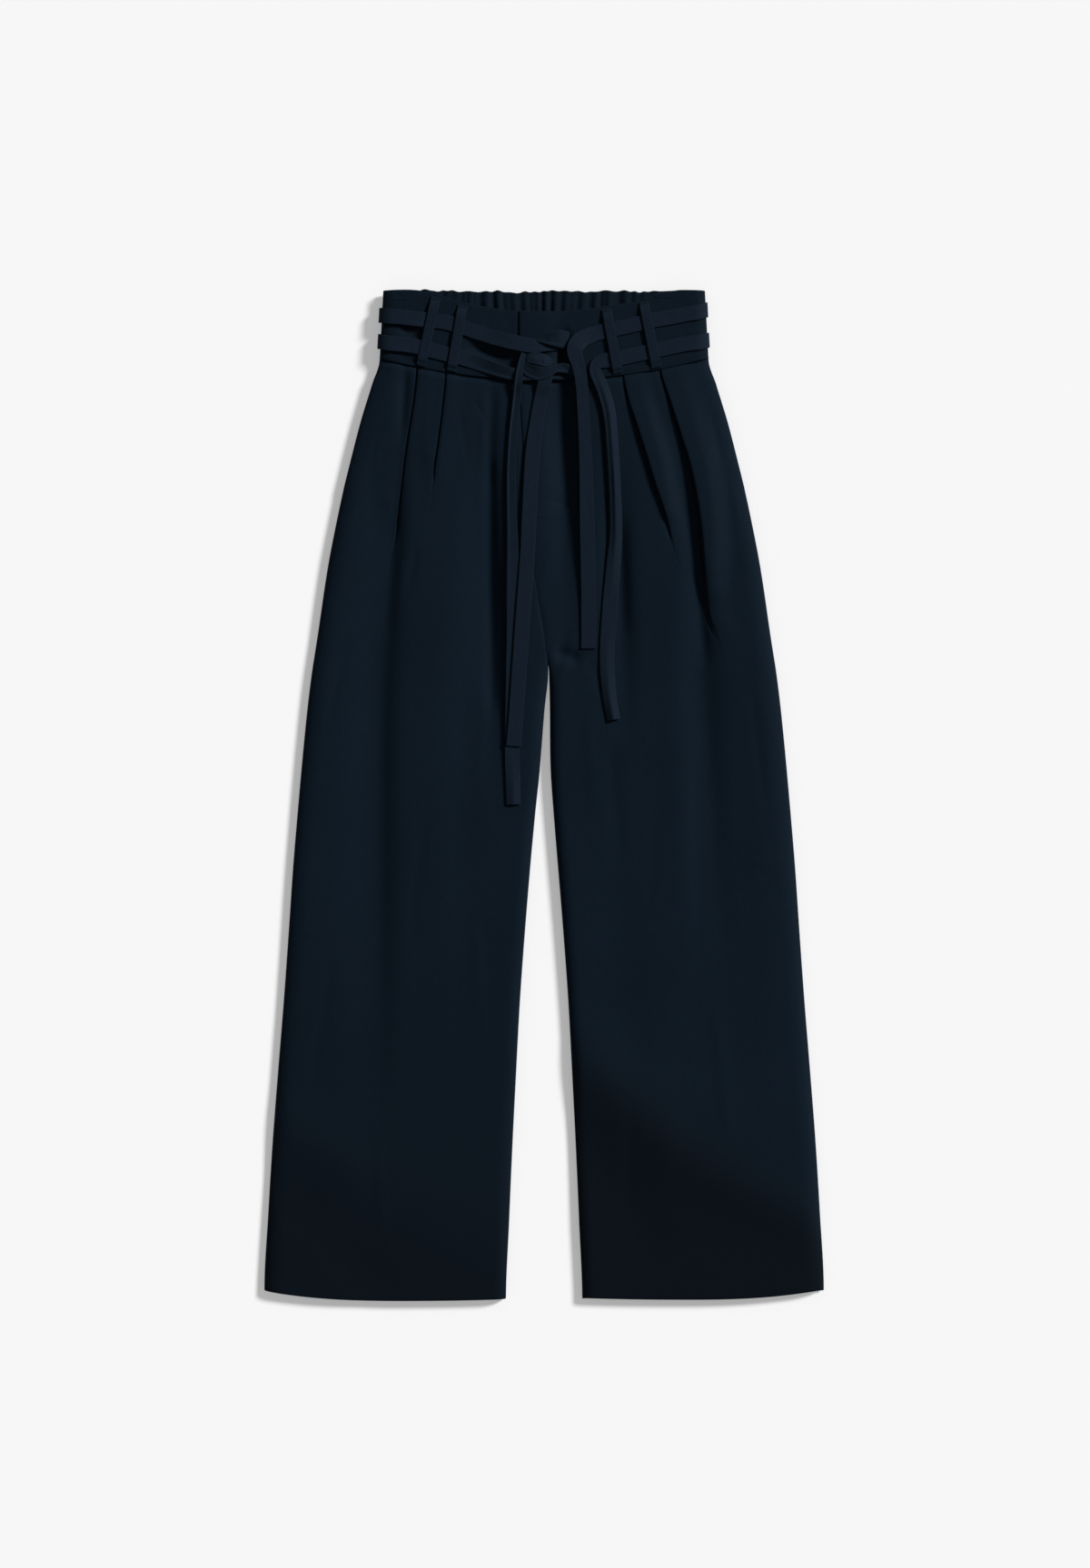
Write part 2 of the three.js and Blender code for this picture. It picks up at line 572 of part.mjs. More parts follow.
// Straps, loops and ties
// Each row: a point of the middle line, its lift off what lies beneath, and how far its two halves droop.
const routes = {
  upperLeft: [
    { x: 12, y: 447.4, lift: 4.4 },
    { x: -6, y: 448.6, lift: 4.2 },
    { x: -22, y: 452.6, lift: 3.6 },
    { x: -50, y: 461.8, lift: 1.5 },
    { x: -85, y: 473.8, lift: strapLift },
    { x: -100, y: 478.2, lift: strapLift },
    { x: -122, y: 480.6, lift: strapLift },
    { x: -146, y: 483.4, lift: strapLift },
  ],
  lowerLeft: [
    { x: -18, y: 428.4, lift: strapLift },
    { x: -28, y: 425.6, lift: strapLift },
    { x: -37, y: 426, lift: strapLift },
    { x: -50, y: 429.8, lift: strapLift, droop: 54 },
    { x: -70, y: 437.2, lift: strapLift, droop: 40 },
    { x: -85, y: 442.6, lift: strapLift },
    { x: -105, y: 447, lift: strapLift },
    { x: -126, y: 451.8, lift: strapLift },
    { x: -146, y: 456, lift: strapLift },
  ],
  upperRight: [
    { x: 146, y: 487, lift: strapLift },
    { x: 134, y: 484.2, lift: strapLift },
    { x: 111, y: 480.2, lift: strapLift },
    { x: 84, y: 474, lift: strapLift },
    { x: 63, y: 469.6, lift: strapLift },
    { x: 48, y: 465.6, lift: 1.6 },
    { x: 38.6, y: 457.4, lift: 2.8 },
    { x: 35.8, y: 445, lift: 3.4 },
    { x: 36.4, y: 430, lift: 3.4 },
    { x: 38, y: 412, lift: 3.4 },
    { x: 41, y: 380, lift: 2.6 },
    { x: 42.6, y: 327, lift: 1.6 },
    { x: 43.8, y: 262, lift: strapLift },
    { x: 45, y: 200, lift: strapLift },
    { x: 45, y: 148.4, lift: strapLift },
  ],
  lowerRight: [
    { x: 146, y: 456.8, lift: strapLift },
    { x: 118, y: 450.8, lift: strapLift },
    { x: 93, y: 445.4, lift: strapLift },
    { x: 73, y: 440.8, lift: strapLift },
    { x: 58, y: 438, lift: strapLift },
    { x: 50, y: 431, lift: strapLift, droop: 22 },
    { x: 49.8, y: 420, lift: strapLift, droop: 46 },
    { x: 53, y: 404, lift: strapLift, droop: 62 },
    { x: 57.6, y: 384, lift: strapLift, droop: 66 },
    { x: 65.3, y: 316, lift: strapLift, droop: 66 },
    { x: 71, y: 268, lift: strapLift, droop: 58 },
    { x: 69.4, y: 236, lift: strapLift, droop: 16 },
    { x: 66.4, y: 190, lift: strapLift },
    { x: 63.6, y: 140, lift: strapLift, droop: 14 },
    { x: 66, y: 102, lift: strapLift, droop: 44 },
    { x: 70.4, y: 76.4, lift: strapLift, droop: 58 },
  ],
  tieLeft: [
    { x: -21, y: 441.6, lift: 3.4, droop: 40 },
    { x: -24.5, y: 430, lift: 3.6, droop: 58 },
    { x: -26.6, y: 414, lift: 3, droop: 56 },
    { x: -30.4, y: 396, lift: strapLift, droop: 26 },
    { x: -33, y: 372, lift: strapLift, droop: 14 },
    { x: -32.6, y: 320, lift: strapLift, droop: 10 },
    { x: -28.4, y: 262, lift: strapLift },
    { x: -30.2, y: 171, lift: strapLift },
    { x: -31.2, y: 110, lift: strapLift },
    { x: -32, y: 51, lift: strapLift },
    { x: -30.8, y: -9.2, lift: strapLift, droop: 30 },
  ],
  tieCentre: [
    { x: 0.4, y: 428, lift: 1.3 },
    { x: -1.8, y: 417, lift: 1.3 },
    { x: -8, y: 380, lift: strapLift },
    { x: -12, y: 346, lift: 1.6 },
    { x: -14.6, y: 290, lift: 2.8 },
    { x: -17, y: 240, lift: 2.9 },
    { x: -22, y: 171, lift: 2.9 },
    { x: -28.4, y: 79, lift: 2.9 },
    { x: -30.8, y: 49.6, lift: 2.9 },
  ],
  knotWrap: [
    { x: -10.6, y: 447, lift: strapLift, width: 11 },
    { x: -11.6, y: 438, lift: 1.6, width: 13 },
    { x: -5.6, y: 430.6, lift: 3.2, width: 14 },
    { x: 4, y: 428, lift: 3.6, width: 13, droop: 16 },
    { x: 15, y: 431.4, lift: 3, width: 13, droop: 26 },
    { x: 25.6, y: 434, lift: 1.4, width: 10 },
  ],
  knotBight: [
    { x: 26.4, y: 459, lift: 5.4, width: 12, droop: 30 },
    { x: 18, y: 460.4, lift: 5.6, width: 12, droop: 40 },
    { x: 8, y: 459.4, lift: 5.6, width: 8, droop: 34 },
    { x: -2, y: 457.6, lift: 5.6, width: 3.6, droop: 10 },
  ],
};

// Reads a route at a share of its length: its middle, the way it heads, and its columns there.
function routeReader(route) {
  const middle = route.map((p) => new THREE.Vector3(p.x, p.y, 0));
  const curve = new THREE.CatmullRomCurve3(middle, false, "centripetal");
  let travelled = 0;
  const rows = route.map((row, i) => {
    if (i > 0) travelled += middle[i].distanceTo(middle[i - 1]);
    return { width: strapWidth, droop: 0, ...row, travelled };
  });
  const length = travelled;
  return (share) => {
    const at = share * length;
    const next = Math.max(1, rows.findIndex((row) => row.travelled >= at - 1e-6));
    const part = (at - rows[next - 1].travelled) / (rows[next].travelled - rows[next - 1].travelled);
    const t = (next - 1 + part) / (rows.length - 1);
    const column = (key) => read(rows, key, at, "travelled");
    const ahead = curve.getTangent(t);
    return {
      centre: curve.getPoint(t),
      ahead,
      side: new THREE.Vector3(-ahead.y, ahead.x, 0),
      lift: column("lift"),
      half: column("width") / 2,
      droop: radians(column("droop")),
    };
  };
}

// Rows of three points across a strap that lies over a floor, bridging the hollows under it.
function ribbonRows(route, steps, floor = carrier) {
  const reader = routeReader(route);
  const rows = [];
  for (let i = 0; i <= steps; i += 1) {
    const { centre, ahead, side, lift, half, droop } = reader(i / steps);
    const spread = half * Math.cos(droop);
    const place = (across, along) => {
      return centre.clone().addScaledVector(side, across * spread).addScaledVector(ahead, along);
    };
    let highest = -Infinity;
    for (const across of [-1.1, -0.5, 0, 0.5, 1.1]) {
      for (const along of [-6, 0, 6]) {
        const under = place(across, along);
        highest = Math.max(highest, floor(under.x, under.y));
      }
    }
    rows.push([-1, 0, 1].map((across) => {
      const ridge = (1 - Math.abs(across)) * half * Math.sin(droop);
      return place(across, 0).setZ(highest + lift + ridge);
    }));
  }
  return rows;
}

// Rows of a strap round the side of the waist, from its front face over the edge to its back face.
function waistSideRows(side, frontY, edgeY, backY) {
  const offset = bandWall / 2 + strapLift + 0.3;
  const quarter = (share, deep, high, y) => {
    const angle = (Math.PI / 2) * share;
    const outwards = new THREE.Vector2(Math.cos(angle) / deep, Math.sin(angle) / high).setLength(offset);
    const x = waistHalf(y) - bandWall / 2 - deep * (1 - Math.cos(angle)) + outwards.x;
    return new THREE.Vector3(side * x, y, bandSeamHeight + high * Math.sin(angle) + outwards.y);
  };
  const frontHigh = bandHeight - bandSeamHeight;
  const backHigh = backBandHeight - bandSeamHeight;
  const places = [];
  for (const share of [0.75, 0.5, 0.25, 0]) {
    places.push([share, bandCurl, frontHigh, mix(edgeY, frontY, share)]);
  }
  for (const share of [1 / 3, 2 / 3, 1]) places.push([share, backCurl, backHigh, mix(edgeY, backY, share)]);
  return places.map(([share, deep, high, y]) => {
    return [-1, 0, 1].map((across) => quarter(share, deep, high, y + (across * strapWidth) / 2));
  });
}

// A whole strap of the belt: its left front run, round the back, and its right front run with its tie end.
function belt(left, right, side, steps) {
  const upwards = (row) => (row[0].y < row[2].y ? row : [...row].reverse());
  const leftRun = ribbonRows(left, steps.left).map(upwards);
  const rightRun = ribbonRows(right, steps.right).map((row) => [...row].reverse());
  const joinY = (route, i) => route[i].y;
  const leftTurn = waistSideRows(-1, joinY(left, left.length - 1), side.leftY, side.backY);
  const rightTurn = waistSideRows(1, joinY(right, 0), side.rightY, side.backY).reverse();
  const backRun = [-135, -70, 0, 70, 135].map((x) =>
    [-1, 0, 1].map((u) => new THREE.Vector3(x, side.backY + (u * strapWidth) / 2, backStrapHeight)),
  );
  return wallGeometry([...leftRun, ...leftTurn, ...backRun, ...rightTurn, ...rightRun], strapWall);
}

// Belt loops: the middle of each end, and between which heights they stand clear of the straps.
const loops = [
  { name: "loop_1", topX: -109, topY: 503.6, endX: -124.2, endY: 433.8, clearFrom: 489, clearTo: 442 },
  { name: "loop_2", topX: -82, topY: 495.2, endX: -93.4, endY: 428.6, clearFrom: 484, clearTo: 435.4 },
  { name: "loop_3", topX: 63, topY: 491.6, endX: 74.8, endY: 426.4, clearFrom: 480, clearTo: 432 },
  { name: "loop_4", topX: 100.6, topY: 498.4, endX: 113.6, endY: 432.2, clearFrom: 489, clearTo: 441 },
];
const backLoop = { x: 84, topY: 501, endY: 447, clearFrom: 498, clearTo: 450.6 };

function beltLoop(loop) {
  const over = 2 * strapLift + strapWall / 2 + 0.2;
  const heights = [loop.topY, loop.topY - 3, loop.clearFrom, loop.clearTo, loop.endY + 3, loop.endY];
  const lifts = [strapLift, strapLift, over, over, strapLift + 0.2, strapLift];
  const route = heights.map((y, i) => ({
    x: mix(loop.topX, loop.endX, (loop.topY - y) / (loop.topY - loop.endY)),
    y,
    lift: lifts[i],
    width: loopWidth,
  }));
  return wallGeometry(ribbonRows(route, 12), strapWall);
}

// A loop on the back, under the straps, its ends turned up to the waistband.
function underLoop(side) {
  const { x, topY, endY, clearFrom, clearTo } = backLoop;
  const places = [
    [topY, 2.2],
    [mix(topY, clearFrom, 0.5), 1.6],
    [clearFrom, strapWall / 2],
    [mix(clearFrom, clearTo, 0.5), strapWall / 2],
    [clearTo, strapWall / 2],
    [mix(endY, clearTo, 0.5), 1.6],
    [endY, 2.2],
  ];
  const across = (y, z) => [-1, 0, 1].map((u) => new THREE.Vector3(side * x + (u * loopWidth) / 2, y, z));
  return wallGeometry(places.map(([y, z]) => across(y, z)), strapWall);
}

// The facing that shows in a side-seam pocket's mouth, following the turned edge just inside it.
function pocketFacing(side) {
  const rows = 8;
  const inside = clothWall + seamGap + 0.5;
  const grid = [];
  for (let i = 0; i <= rows; i += 1) {
    const y = mix(pocketTopY - 6, pocketEndY + 4, i / rows);
    const edgeX = read(outline, "half", y) - clothWall / 2;
    const seam = read(loft, "seam", y);
    const front = frontHeight(side * edgeX, y);
    const points = [-0.26, -0.13, 0, 0.2, 0.4].map((share) => {
      const angle = (Math.PI / 2) * Math.abs(share);
      const radius = share < 0 ? backCurl : outerCurl;
      const far = share < 0 ? read(loft, "back", y) : front;
      const x = edgeX - inside - radius * (1 - Math.cos(angle));
      return new THREE.Vector3(side * x, y, mix(seam, far, Math.sin(angle) * 0.8));
    });
    grid.push(points);
  }
  return wallGeometry(grid, clothWall);
}

// Assembly
const trousers = new THREE.Group();

function add(name, geometry) {
  const mesh = new THREE.Mesh(geometry, new THREE.MeshStandardMaterial(navy));
  mesh.name = name;
  trousers.add(mesh);
}

add("front_left", frontPanel({ side: -1, outer: pleats.leftOuter, inner: pleats.leftInner }));
add("front_right", frontPanel({ side: 1, outer: pleats.rightOuter, inner: pleats.rightInner }));
add("back_left", backPanel(-1));
add("back_right", backPanel(1));
add("waistband_front_left", frontBand(-1, lapUnderX));
add("waistband_front_right", frontBand(1, lapEndX));
add("waistband_back", backBand());
const upperSide = { leftY: 485.8, rightY: 492, backY: 488.6 };
const lowerSide = { leftY: 459.6, rightY: 461, backY: 460.2 };
add("belt_upper", belt(routes.upperLeft, routes.upperRight, upperSide, { left: 14, right: 38 }));
add("belt_lower", belt(routes.lowerLeft, routes.lowerRight, lowerSide, { left: 14, right: 40 }));
add("tie_end_left", wallGeometry(ribbonRows(routes.tieLeft, 28), strapWall));
add("tie_end_centre", wallGeometry(ribbonRows(routes.tieCentre, 22), strapWall));
add("knot_wrap", wallGeometry(ribbonRows(routes.knotWrap, 12), strapWall));
add("knot_bight", wallGeometry(ribbonRows(routes.knotBight, 8), strapWall));
for (const [label, side] of [["left", -1], ["right", 1]]) {
  add("loop_back_" + label, underLoop(side));
  add("pocket_" + label, pocketFacing(side));
}
for (const loop of loops) add(loop.name, beltLoop(loop));

export default trousers;
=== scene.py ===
# %% [markdown]
# # Pleated wide-leg trousers, laid flat
# The real trousers are cut from one matt navy cloth: two front legs with two knife pleats each, two back
# legs, a front waistband that dips, a back waistband on elastic, belt loops, and a belt of two straps that is
# tied at the front. The solids that are loaded first say where every piece lies. Each cloth piece is then laid
# out again here as a thin sheet on its solid's form, with the small folds that a plain solid leaves out.
# Lengths are written in millimetres, as on a pattern, and turned into metres when a mesh is made.

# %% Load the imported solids
import json
import math

import bpy
import numpy as np
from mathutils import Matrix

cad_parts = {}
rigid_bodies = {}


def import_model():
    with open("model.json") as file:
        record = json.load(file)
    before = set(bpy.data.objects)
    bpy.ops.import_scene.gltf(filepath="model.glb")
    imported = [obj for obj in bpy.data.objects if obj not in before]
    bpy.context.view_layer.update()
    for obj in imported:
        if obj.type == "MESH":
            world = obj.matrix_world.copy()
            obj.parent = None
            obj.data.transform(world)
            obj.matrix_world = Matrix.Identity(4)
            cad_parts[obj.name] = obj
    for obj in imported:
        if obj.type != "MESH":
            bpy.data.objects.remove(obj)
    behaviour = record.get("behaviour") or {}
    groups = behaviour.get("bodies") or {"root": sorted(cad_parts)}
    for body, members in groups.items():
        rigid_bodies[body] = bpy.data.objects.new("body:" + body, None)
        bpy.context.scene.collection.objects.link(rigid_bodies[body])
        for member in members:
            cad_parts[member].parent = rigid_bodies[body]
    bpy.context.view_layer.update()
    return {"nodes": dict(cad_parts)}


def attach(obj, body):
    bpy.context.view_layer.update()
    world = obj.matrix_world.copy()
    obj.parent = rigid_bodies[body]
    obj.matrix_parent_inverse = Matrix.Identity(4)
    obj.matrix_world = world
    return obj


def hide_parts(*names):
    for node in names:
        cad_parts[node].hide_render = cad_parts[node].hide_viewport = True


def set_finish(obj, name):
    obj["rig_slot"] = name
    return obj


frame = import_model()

MM = 0.001

# %% [markdown]
# ## Reading a pattern's table
# A pattern maker measures a garment at some heights and draws a fair curve between the marks. A table is
# read the same way: a cubic curve between the rows, whose slopes are held back so that it never overshoots.
# Straight lines would be simpler, but each row would show as a kink in the cloth.

# %% Tables and easing
def ease(t):
    held = np.clip(t, 0, 1)
    return held * held * (3 - 2 * held)


def between(a, b, t):
    return a + (b - a) * t


class Table:
    """Rows of measurements under named columns. The first column is the one to look up by."""

    def __init__(self, columns, rows):
        values = np.array(sorted(rows), float)
        self.at = values[:, 0]
        self.columns = {name: values[:, i] for i, name in enumerate(columns.split())}
        self.slopes = {name: self.fair_slopes(column) for name, column in self.columns.items()}

    def fair_slopes(self, column):
        step = np.diff(column) / np.diff(self.at)
        both = step[:-1] * step[1:]
        total = step[:-1] + step[1:]
        slopes = np.zeros(len(column))
        slopes[1:-1] = np.where(both > 0, 2 * both / np.where(total == 0, 1, total), 0)
        return slopes

    def __call__(self, name, at):
        column, slopes = self.columns[name], self.slopes[name]
        at = np.clip(at, self.at[0], self.at[-1])
        i = np.clip(np.searchsorted(self.at, at, side="right") - 1, 0, len(self.at) - 2)
        span = self.at[i + 1] - self.at[i]
        t = (at - self.at[i]) / span
        curve = between(column[i], column[i + 1], t * t * (3 - 2 * t))
        return curve + slopes[i] * span * t * (1 - t) ** 2 - slopes[i + 1] * span * t * t * (1 - t)


# %% [markdown]
# ## The outline and the heights
# The trousers lie on their back, so the outline is what the eye sees from above, and the heights are how
# far the front cloth, the side seam and the back cloth stand off the table. They are the same numbers as in
# the solids, because the sheets have to lie on them.

# %% Outline, heights and waist
outline = Table("y half middle gap", [
    (442, 166.4, -24.2, 0.2), (415, 174.4, -23.6, 0.2), (378, 185.8, -21.6, 0.2), (341, 195.4, -19, 0.2),
    (305, 204.2, -16, 0.2), (268, 212, -12.8, 0.2), (231, 219, -10, 0.2), (157, 230, 1.2, 0.2),
    (122, 235.4, 4.6, 0.6), (88, 239.6, 3.2, 2.6), (30, 245.3, 1.2, 5.2), (-21, 249.8, 0.3, 9.5),
    (-76, 254.3, 0, 14.3), (-137, 258.4, 0, 19.3), (-211, 263.6, 0, 24.6), (-284, 269.4, 0, 28.5),
    (-358, 275, 0, 32.2), (-431, 279.4, 0, 35.4), (-512, 283.4, 0, 38.6),
])
loft = Table("y front seam back", [
    (442, 14.4, 9, 5.8), (410, 14.4, 7.6, 3.2), (370, 14.3, 6.4, 0.5), (250, 14, 5.6, 0.5),
    (100, 13, 5, 0.5), (-250, 12, 4.8, 0.5), (-512, 11.2, 4.6, 0.5),
])
front_top = Table("x y", [
    (-166, 510.6), (-140, 511.2), (-115, 509), (-93, 501.5), (-60, 494), (-26, 489.8), (5, 489.3),
    (35, 490.8), (62, 494.6), (93, 499.2), (118, 507.4), (140, 510.9), (166, 510.6),
])
cloth, band_cloth, strap_cloth, loop_cloth = 0.5, 1.4, 1.1, 1.1
band_height, back_band_height, band_seam_height = 15.2, 5.8, 9
back_band_top, back_seam, front_seam = 510.7, 442, 420
seam_half, top_half = 166.4, 162.8
outer_curl, inner_curl, back_curl, band_curl = 18, 12, 7, 12
crotch, leg_middle, hem_lowest = 122, 150, -511.5
lap_end, lap_under, lap_rise = -24.8, -7, 2
both_sides = (("left", -1), ("right", 1))


def seam_y(x):
    return between(front_seam, back_seam, np.minimum(1, np.abs(x) / seam_half) ** 2)


def waist_half(y):
    return between(seam_half, top_half, (y - back_seam) / (back_band_top - back_seam))


def hem_y(x):
    """The hem is lowest at a leg's middle and rises towards both seams, more at the side seam."""
    off = np.abs(x) - leg_middle
    rise, reach = np.where(off > 0, 10.1, 1.8), np.where(off > 0, 133, 112)
    return hem_lowest + rise * np.abs(off / reach) ** 2.4


print("outline at the knee:", round(outline("half", -50), 1), "mm each side")

# %% [markdown]
# ## Folds that the cloth has taken
# Pressed cloth that hangs from pleats keeps long soft troughs and ridges, and short creases where it was
# handled. They could be sculpted by hand or left to a cloth simulation, but neither would put them where
# they are on this pair. So each long fold is a row here: three points down it, its width, its height, where
# it is strongest and how much flatter its left flank lies. A short crease is a line from one point to another,
# with a width and a height.

# %% Long soft folds and short creases
soft_folds = [
    # x at three points, y at the same points, width, height, strongest at, times wider on its left side
    ((-140, -160, -172), (400, 205, -70), 13, -6.4, 0.3, 2.2),
    ((-168, -168, -170), (240, -30, -440), 14, -5.4, 0.4, 2.2),
    ((-140, -143, -150), (452, 410, 350), 8, -1.2, 0.4, 1),
    ((-60, -56, -48), (440, 250, -40), 11.5, -7, 0.45, 2.2),
    ((-112, -108, -112), (300, 60, -420), 30, 1, 0.35, 1),
    ((-84, -82, -84), (240, 60, -220), 14, -1, 0.35, 1),
    ((16, 21, 25), (466, 320, 130), 10, -7.4, 0.3, 1.4),
    ((74, 78, 84), (360, 210, 20), 10, -5.2, 0.4, 1.6),
    ((132, 138, 144), (290, 130, -240), 18, 1.8, 0.3, 1),
    ((132, 151, 158), (400, 250, 120), 9, -3, 0.6, 1),
    ((150, 159, 182), (262, 120, -240), 15, -5, 0.28, 1.5),
    ((206, 220, 236), (230, 60, -420), 20, 1.2, 0.35, 1),
    ((66, 74, 96), (60, -120, -470), 26, -1.2, 0.5, 1),
]
leg_creases = [
    # from x, y, to x, y, width, height: by the waist and on the hips
    (-139, 446, -145, 350, 4.6, -1.9), (-172, 402, -187, 330, 3.2, -0.5), (-160, 372, -176, 318, 2.6, 0.35),
    (-86, 398, -76, 330, 3.4, -0.45), (-64, 392, -58, 300, 3.6, 0.4), (-74, 408, -56, 372, 3, -0.5),
    (-52, 426, -56, 300, 5.5, -2), (-55, 350, -53, 70, 6, -2.4), (26, 446, 29, 300, 4, -1),
    (8, 148, 42, 134, 6.5, -3.6),
    (0, 300, 36, 292, 3.4, -0.7), (58, 396, 66, 318, 3.2, -0.45), (110, 392, 122, 352, 2.6, -0.4),
    (166, 396, 182, 322, 3.2, -0.5), (186, 330, 200, 262, 3.4, 0.4), (76, 290, 80, 150, 6, -1.8),
    (8, 412, 4, 330, 3.4, -0.4), (156, 240, 164, 120, 6, -1.8), (-128, 262, -140, 190, 5, -0.8),
    # at the crotch
    (4, 250, -3, 196, 3, 0.4), (28, 262, 33, 190, 3, -0.5), (-8, 208, 4, 146, 3, -0.5),
    (-26, 160, -10, 118, 3.2, 0.5), (30, 156, 14, 116, 3.2, 0.6), (-44, 126, -20, 104, 3.4, -0.5),
    (50, 122, 24, 102, 3.4, -0.5), (24, 176, 12, 124, 4, -1), (40, 150, 66, 96, 5, -0.7),
    # down the legs
    (-146, 330, -160, 150, 7, -0.8), (-196, 168, -222, 60, 5, -0.5),
    (-58, 130, -66, 20, 5, 0.5), (-120, -20, -138, -150, 6, -0.5), (-70, -120, -62, -260, 6, 0.45),
    (-214, -160, -236, -300, 6, -0.5), (44, 96, 52, -30, 5, 0.5), (112, 10, 106, -130, 6, -0.25),
    (208, 120, 224, -20, 5, -0.5), (170, -200, 190, -360, 7, 0.5), (90, -300, 84, -430, 6, -0.4),
    (-170, -330, -160, -470, 6, 0.4), (152, 40, 158, -190, 8, -0.5), (186, -40, 262, -10, 4, -0.5),
    (196, -70, 250, -64, 4, 0.4), (66, 60, 78, -80, 7, -0.8),
    # the broad slant folds low on the legs
    (28, -235, 130, -372, 30, 2.6), (100, -352, 300, -440, 30, 2.6), (4, -300, 120, -480, 30, -1.8),
    (-290, -300, -170, -400, 28, 1.8), (-300, -360, -150, -520, 26, -1.4),
]


def fold_height(x, y):
    total = np.zeros(np.broadcast(x, y).shape)
    for (x0, x1, x2), (y0, y1, y2), width, height, peak, lean in soft_folds:
        t, bend = (y0 - y) / (y0 - y2), (y0 - y1) / (y0 - y2)
        centre = np.where(t < bend, between(x0, x1, t / bend), between(x1, x2, (t - bend) / (1 - bend)))
        strength = np.where(t < peak, ease(t / peak), ease((1 - t) / (1 - peak)))
        wide = np.where(x < centre, width * lean, width)
        total += height * strength * np.exp(-(((x - centre) / wide) ** 2))
    return total


def crease_height(creases, x, y):
    total = np.zeros(np.broadcast(x, y).shape)
    for x0, y0, x1, y1, width, height in creases:
        length = math.hypot(x1 - x0, y1 - y0)
        along = ((x - x0) * (x1 - x0) + (y - y0) * (y1 - y0)) / length ** 2
        aside = ((x - x0) * (y1 - y0) - (y - y0) * (x1 - x0)) / length
        fade = length / min(0.4 * length, 36)
        total += height * ease(fade * along) * ease(fade * (1 - along)) * np.exp(-((aside / width) ** 2))
    return total


def leg_height(x, y):
    return loft("front", y) + fold_height(x, y)


def lap_height(x):
    off = np.maximum(x - lap_under - 4, lap_end - x)
    return lap_rise * (1 - ease(off / 26))


def carrier(x, y):
    """The upper face that straps and loops lie on, eased over the step at the waist seam."""
    on_band = band_height + 0.8 + lap_height(x)
    return between(leg_height(x, y) + 0.5, on_band, ease((y - seam_y(x) + 8) / 10))


print("long folds:", len(soft_folds), "short creases:", len(leg_creases))

# %% [markdown]
# ## A sheet of cloth
# Every piece is a grid of points. Blender's grid primitive gives the mesh, a function gives each point its
# place, and a Solidify modifier gives the cloth its thickness. Bands and straps are folded double, so they
# are thicker and a Bevel modifier rounds their edges. The grid keeps a UV map in metres along the cloth, so
# that the weave follows it round every fold.

# %% Lay a sheet of cloth
crisp = math.radians(50)


def travel(points, axis=0):
    """How far along the cloth each point is from the first one."""
    lengths = np.linalg.norm(np.diff(points, axis=axis), axis=-1)
    padding = [(0, 0)] * lengths.ndim
    padding[axis] = (1, 0)
    return np.cumsum(np.pad(lengths, padding), axis=axis)


def finish_with(piece, kind, **settings):
    modifier = piece.modifiers.new(kind.title(), kind)
    for setting, value in settings.items():
        setattr(modifier, setting, value)
    bpy.ops.object.modifier_apply(modifier=modifier.name)


def lay_cloth(name, points, wall=cloth, rounded=0):
    """A grid with its points laid out, in millimetres, and given its thickness."""
    rows, columns = points.shape[:2]
    bpy.ops.mesh.primitive_grid_add(x_subdivisions=columns - 1, y_subdivisions=rows - 1, size=1)
    piece = bpy.context.object
    piece.name = piece.data.name = name
    piece.data.vertices.foreach_set("co", (points * MM).astype(np.float32).ravel())
    along_cloth = np.stack([travel(points, 1), travel(points, 0)], axis=-1).reshape(-1, 2) * MM
    corners = np.empty(len(piece.data.loops), np.int32)
    piece.data.loops.foreach_get("vertex_index", corners)
    piece.data.uv_layers.active.data.foreach_set("uv", along_cloth[corners].astype(np.float32).ravel())
    piece.data.update()
    finish_with(piece, "SOLIDIFY", thickness=wall * MM, offset=0, use_even_offset=True, use_quality_normals=True)
    if rounded:
        finish_with(piece, "BEVEL", width=rounded * MM, segments=3, limit_method="ANGLE",
                    angle_limit=math.radians(60))
    bpy.ops.object.shade_smooth_by_angle(angle=crisp)
    return piece


def xyz(x, y, z):
    return np.stack(np.broadcast_arrays(x, y, z), axis=-1)


def quarter_turn(radius, count):
    """The angles of a quarter turn, and how far in from the edge each of them lies."""
    angle = np.linspace(0, math.pi / 2, count)
    return angle, radius * (1 - np.cos(angle))


def turn_over(z, angle, edge_height, share=1):
    """Bends the first heights of a row over to its edge, wholly or in part."""
    first = slice(len(angle))
    z[first] = between(z[first], between(edge_height, z[first], np.sin(angle)), share)


def join(pieces):
    """One object out of several, under the name of the first."""
    bpy.ops.object.select_all(action="DESELECT")
    for piece in pieces:
        piece.select_set(True)
    bpy.context.view_layer.objects.active = pieces[0]
    bpy.ops.object.join()
    return pieces[0]


def declare(piece, node, slot, area):
    """Says what the piece stands for, and the size of the cloth it shows, in metres."""
    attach(piece, "root")
    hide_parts(node)
    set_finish(piece, slot)
    surface = sum(face.area for face in piece.data.polygons)
    print(f"{piece.name}: {len(piece.data.polygons)} faces, {surface / 2:.4f} of {area:.4f} square metres")


# %% [markdown]
# ## Knife pleats
# A knife pleat is cloth folded back under itself and sewn flat into the waist seam. Seen along its length
# it is a flat S: the upper layer turns under, doubles back, and turns again into the lower layer. It could
# be faked with a dark line, but its edge has to catch light and cast a shadow, so the S is really there. It
# opens out down the leg, where the turns grow wide and shallow until the cloth is flat.

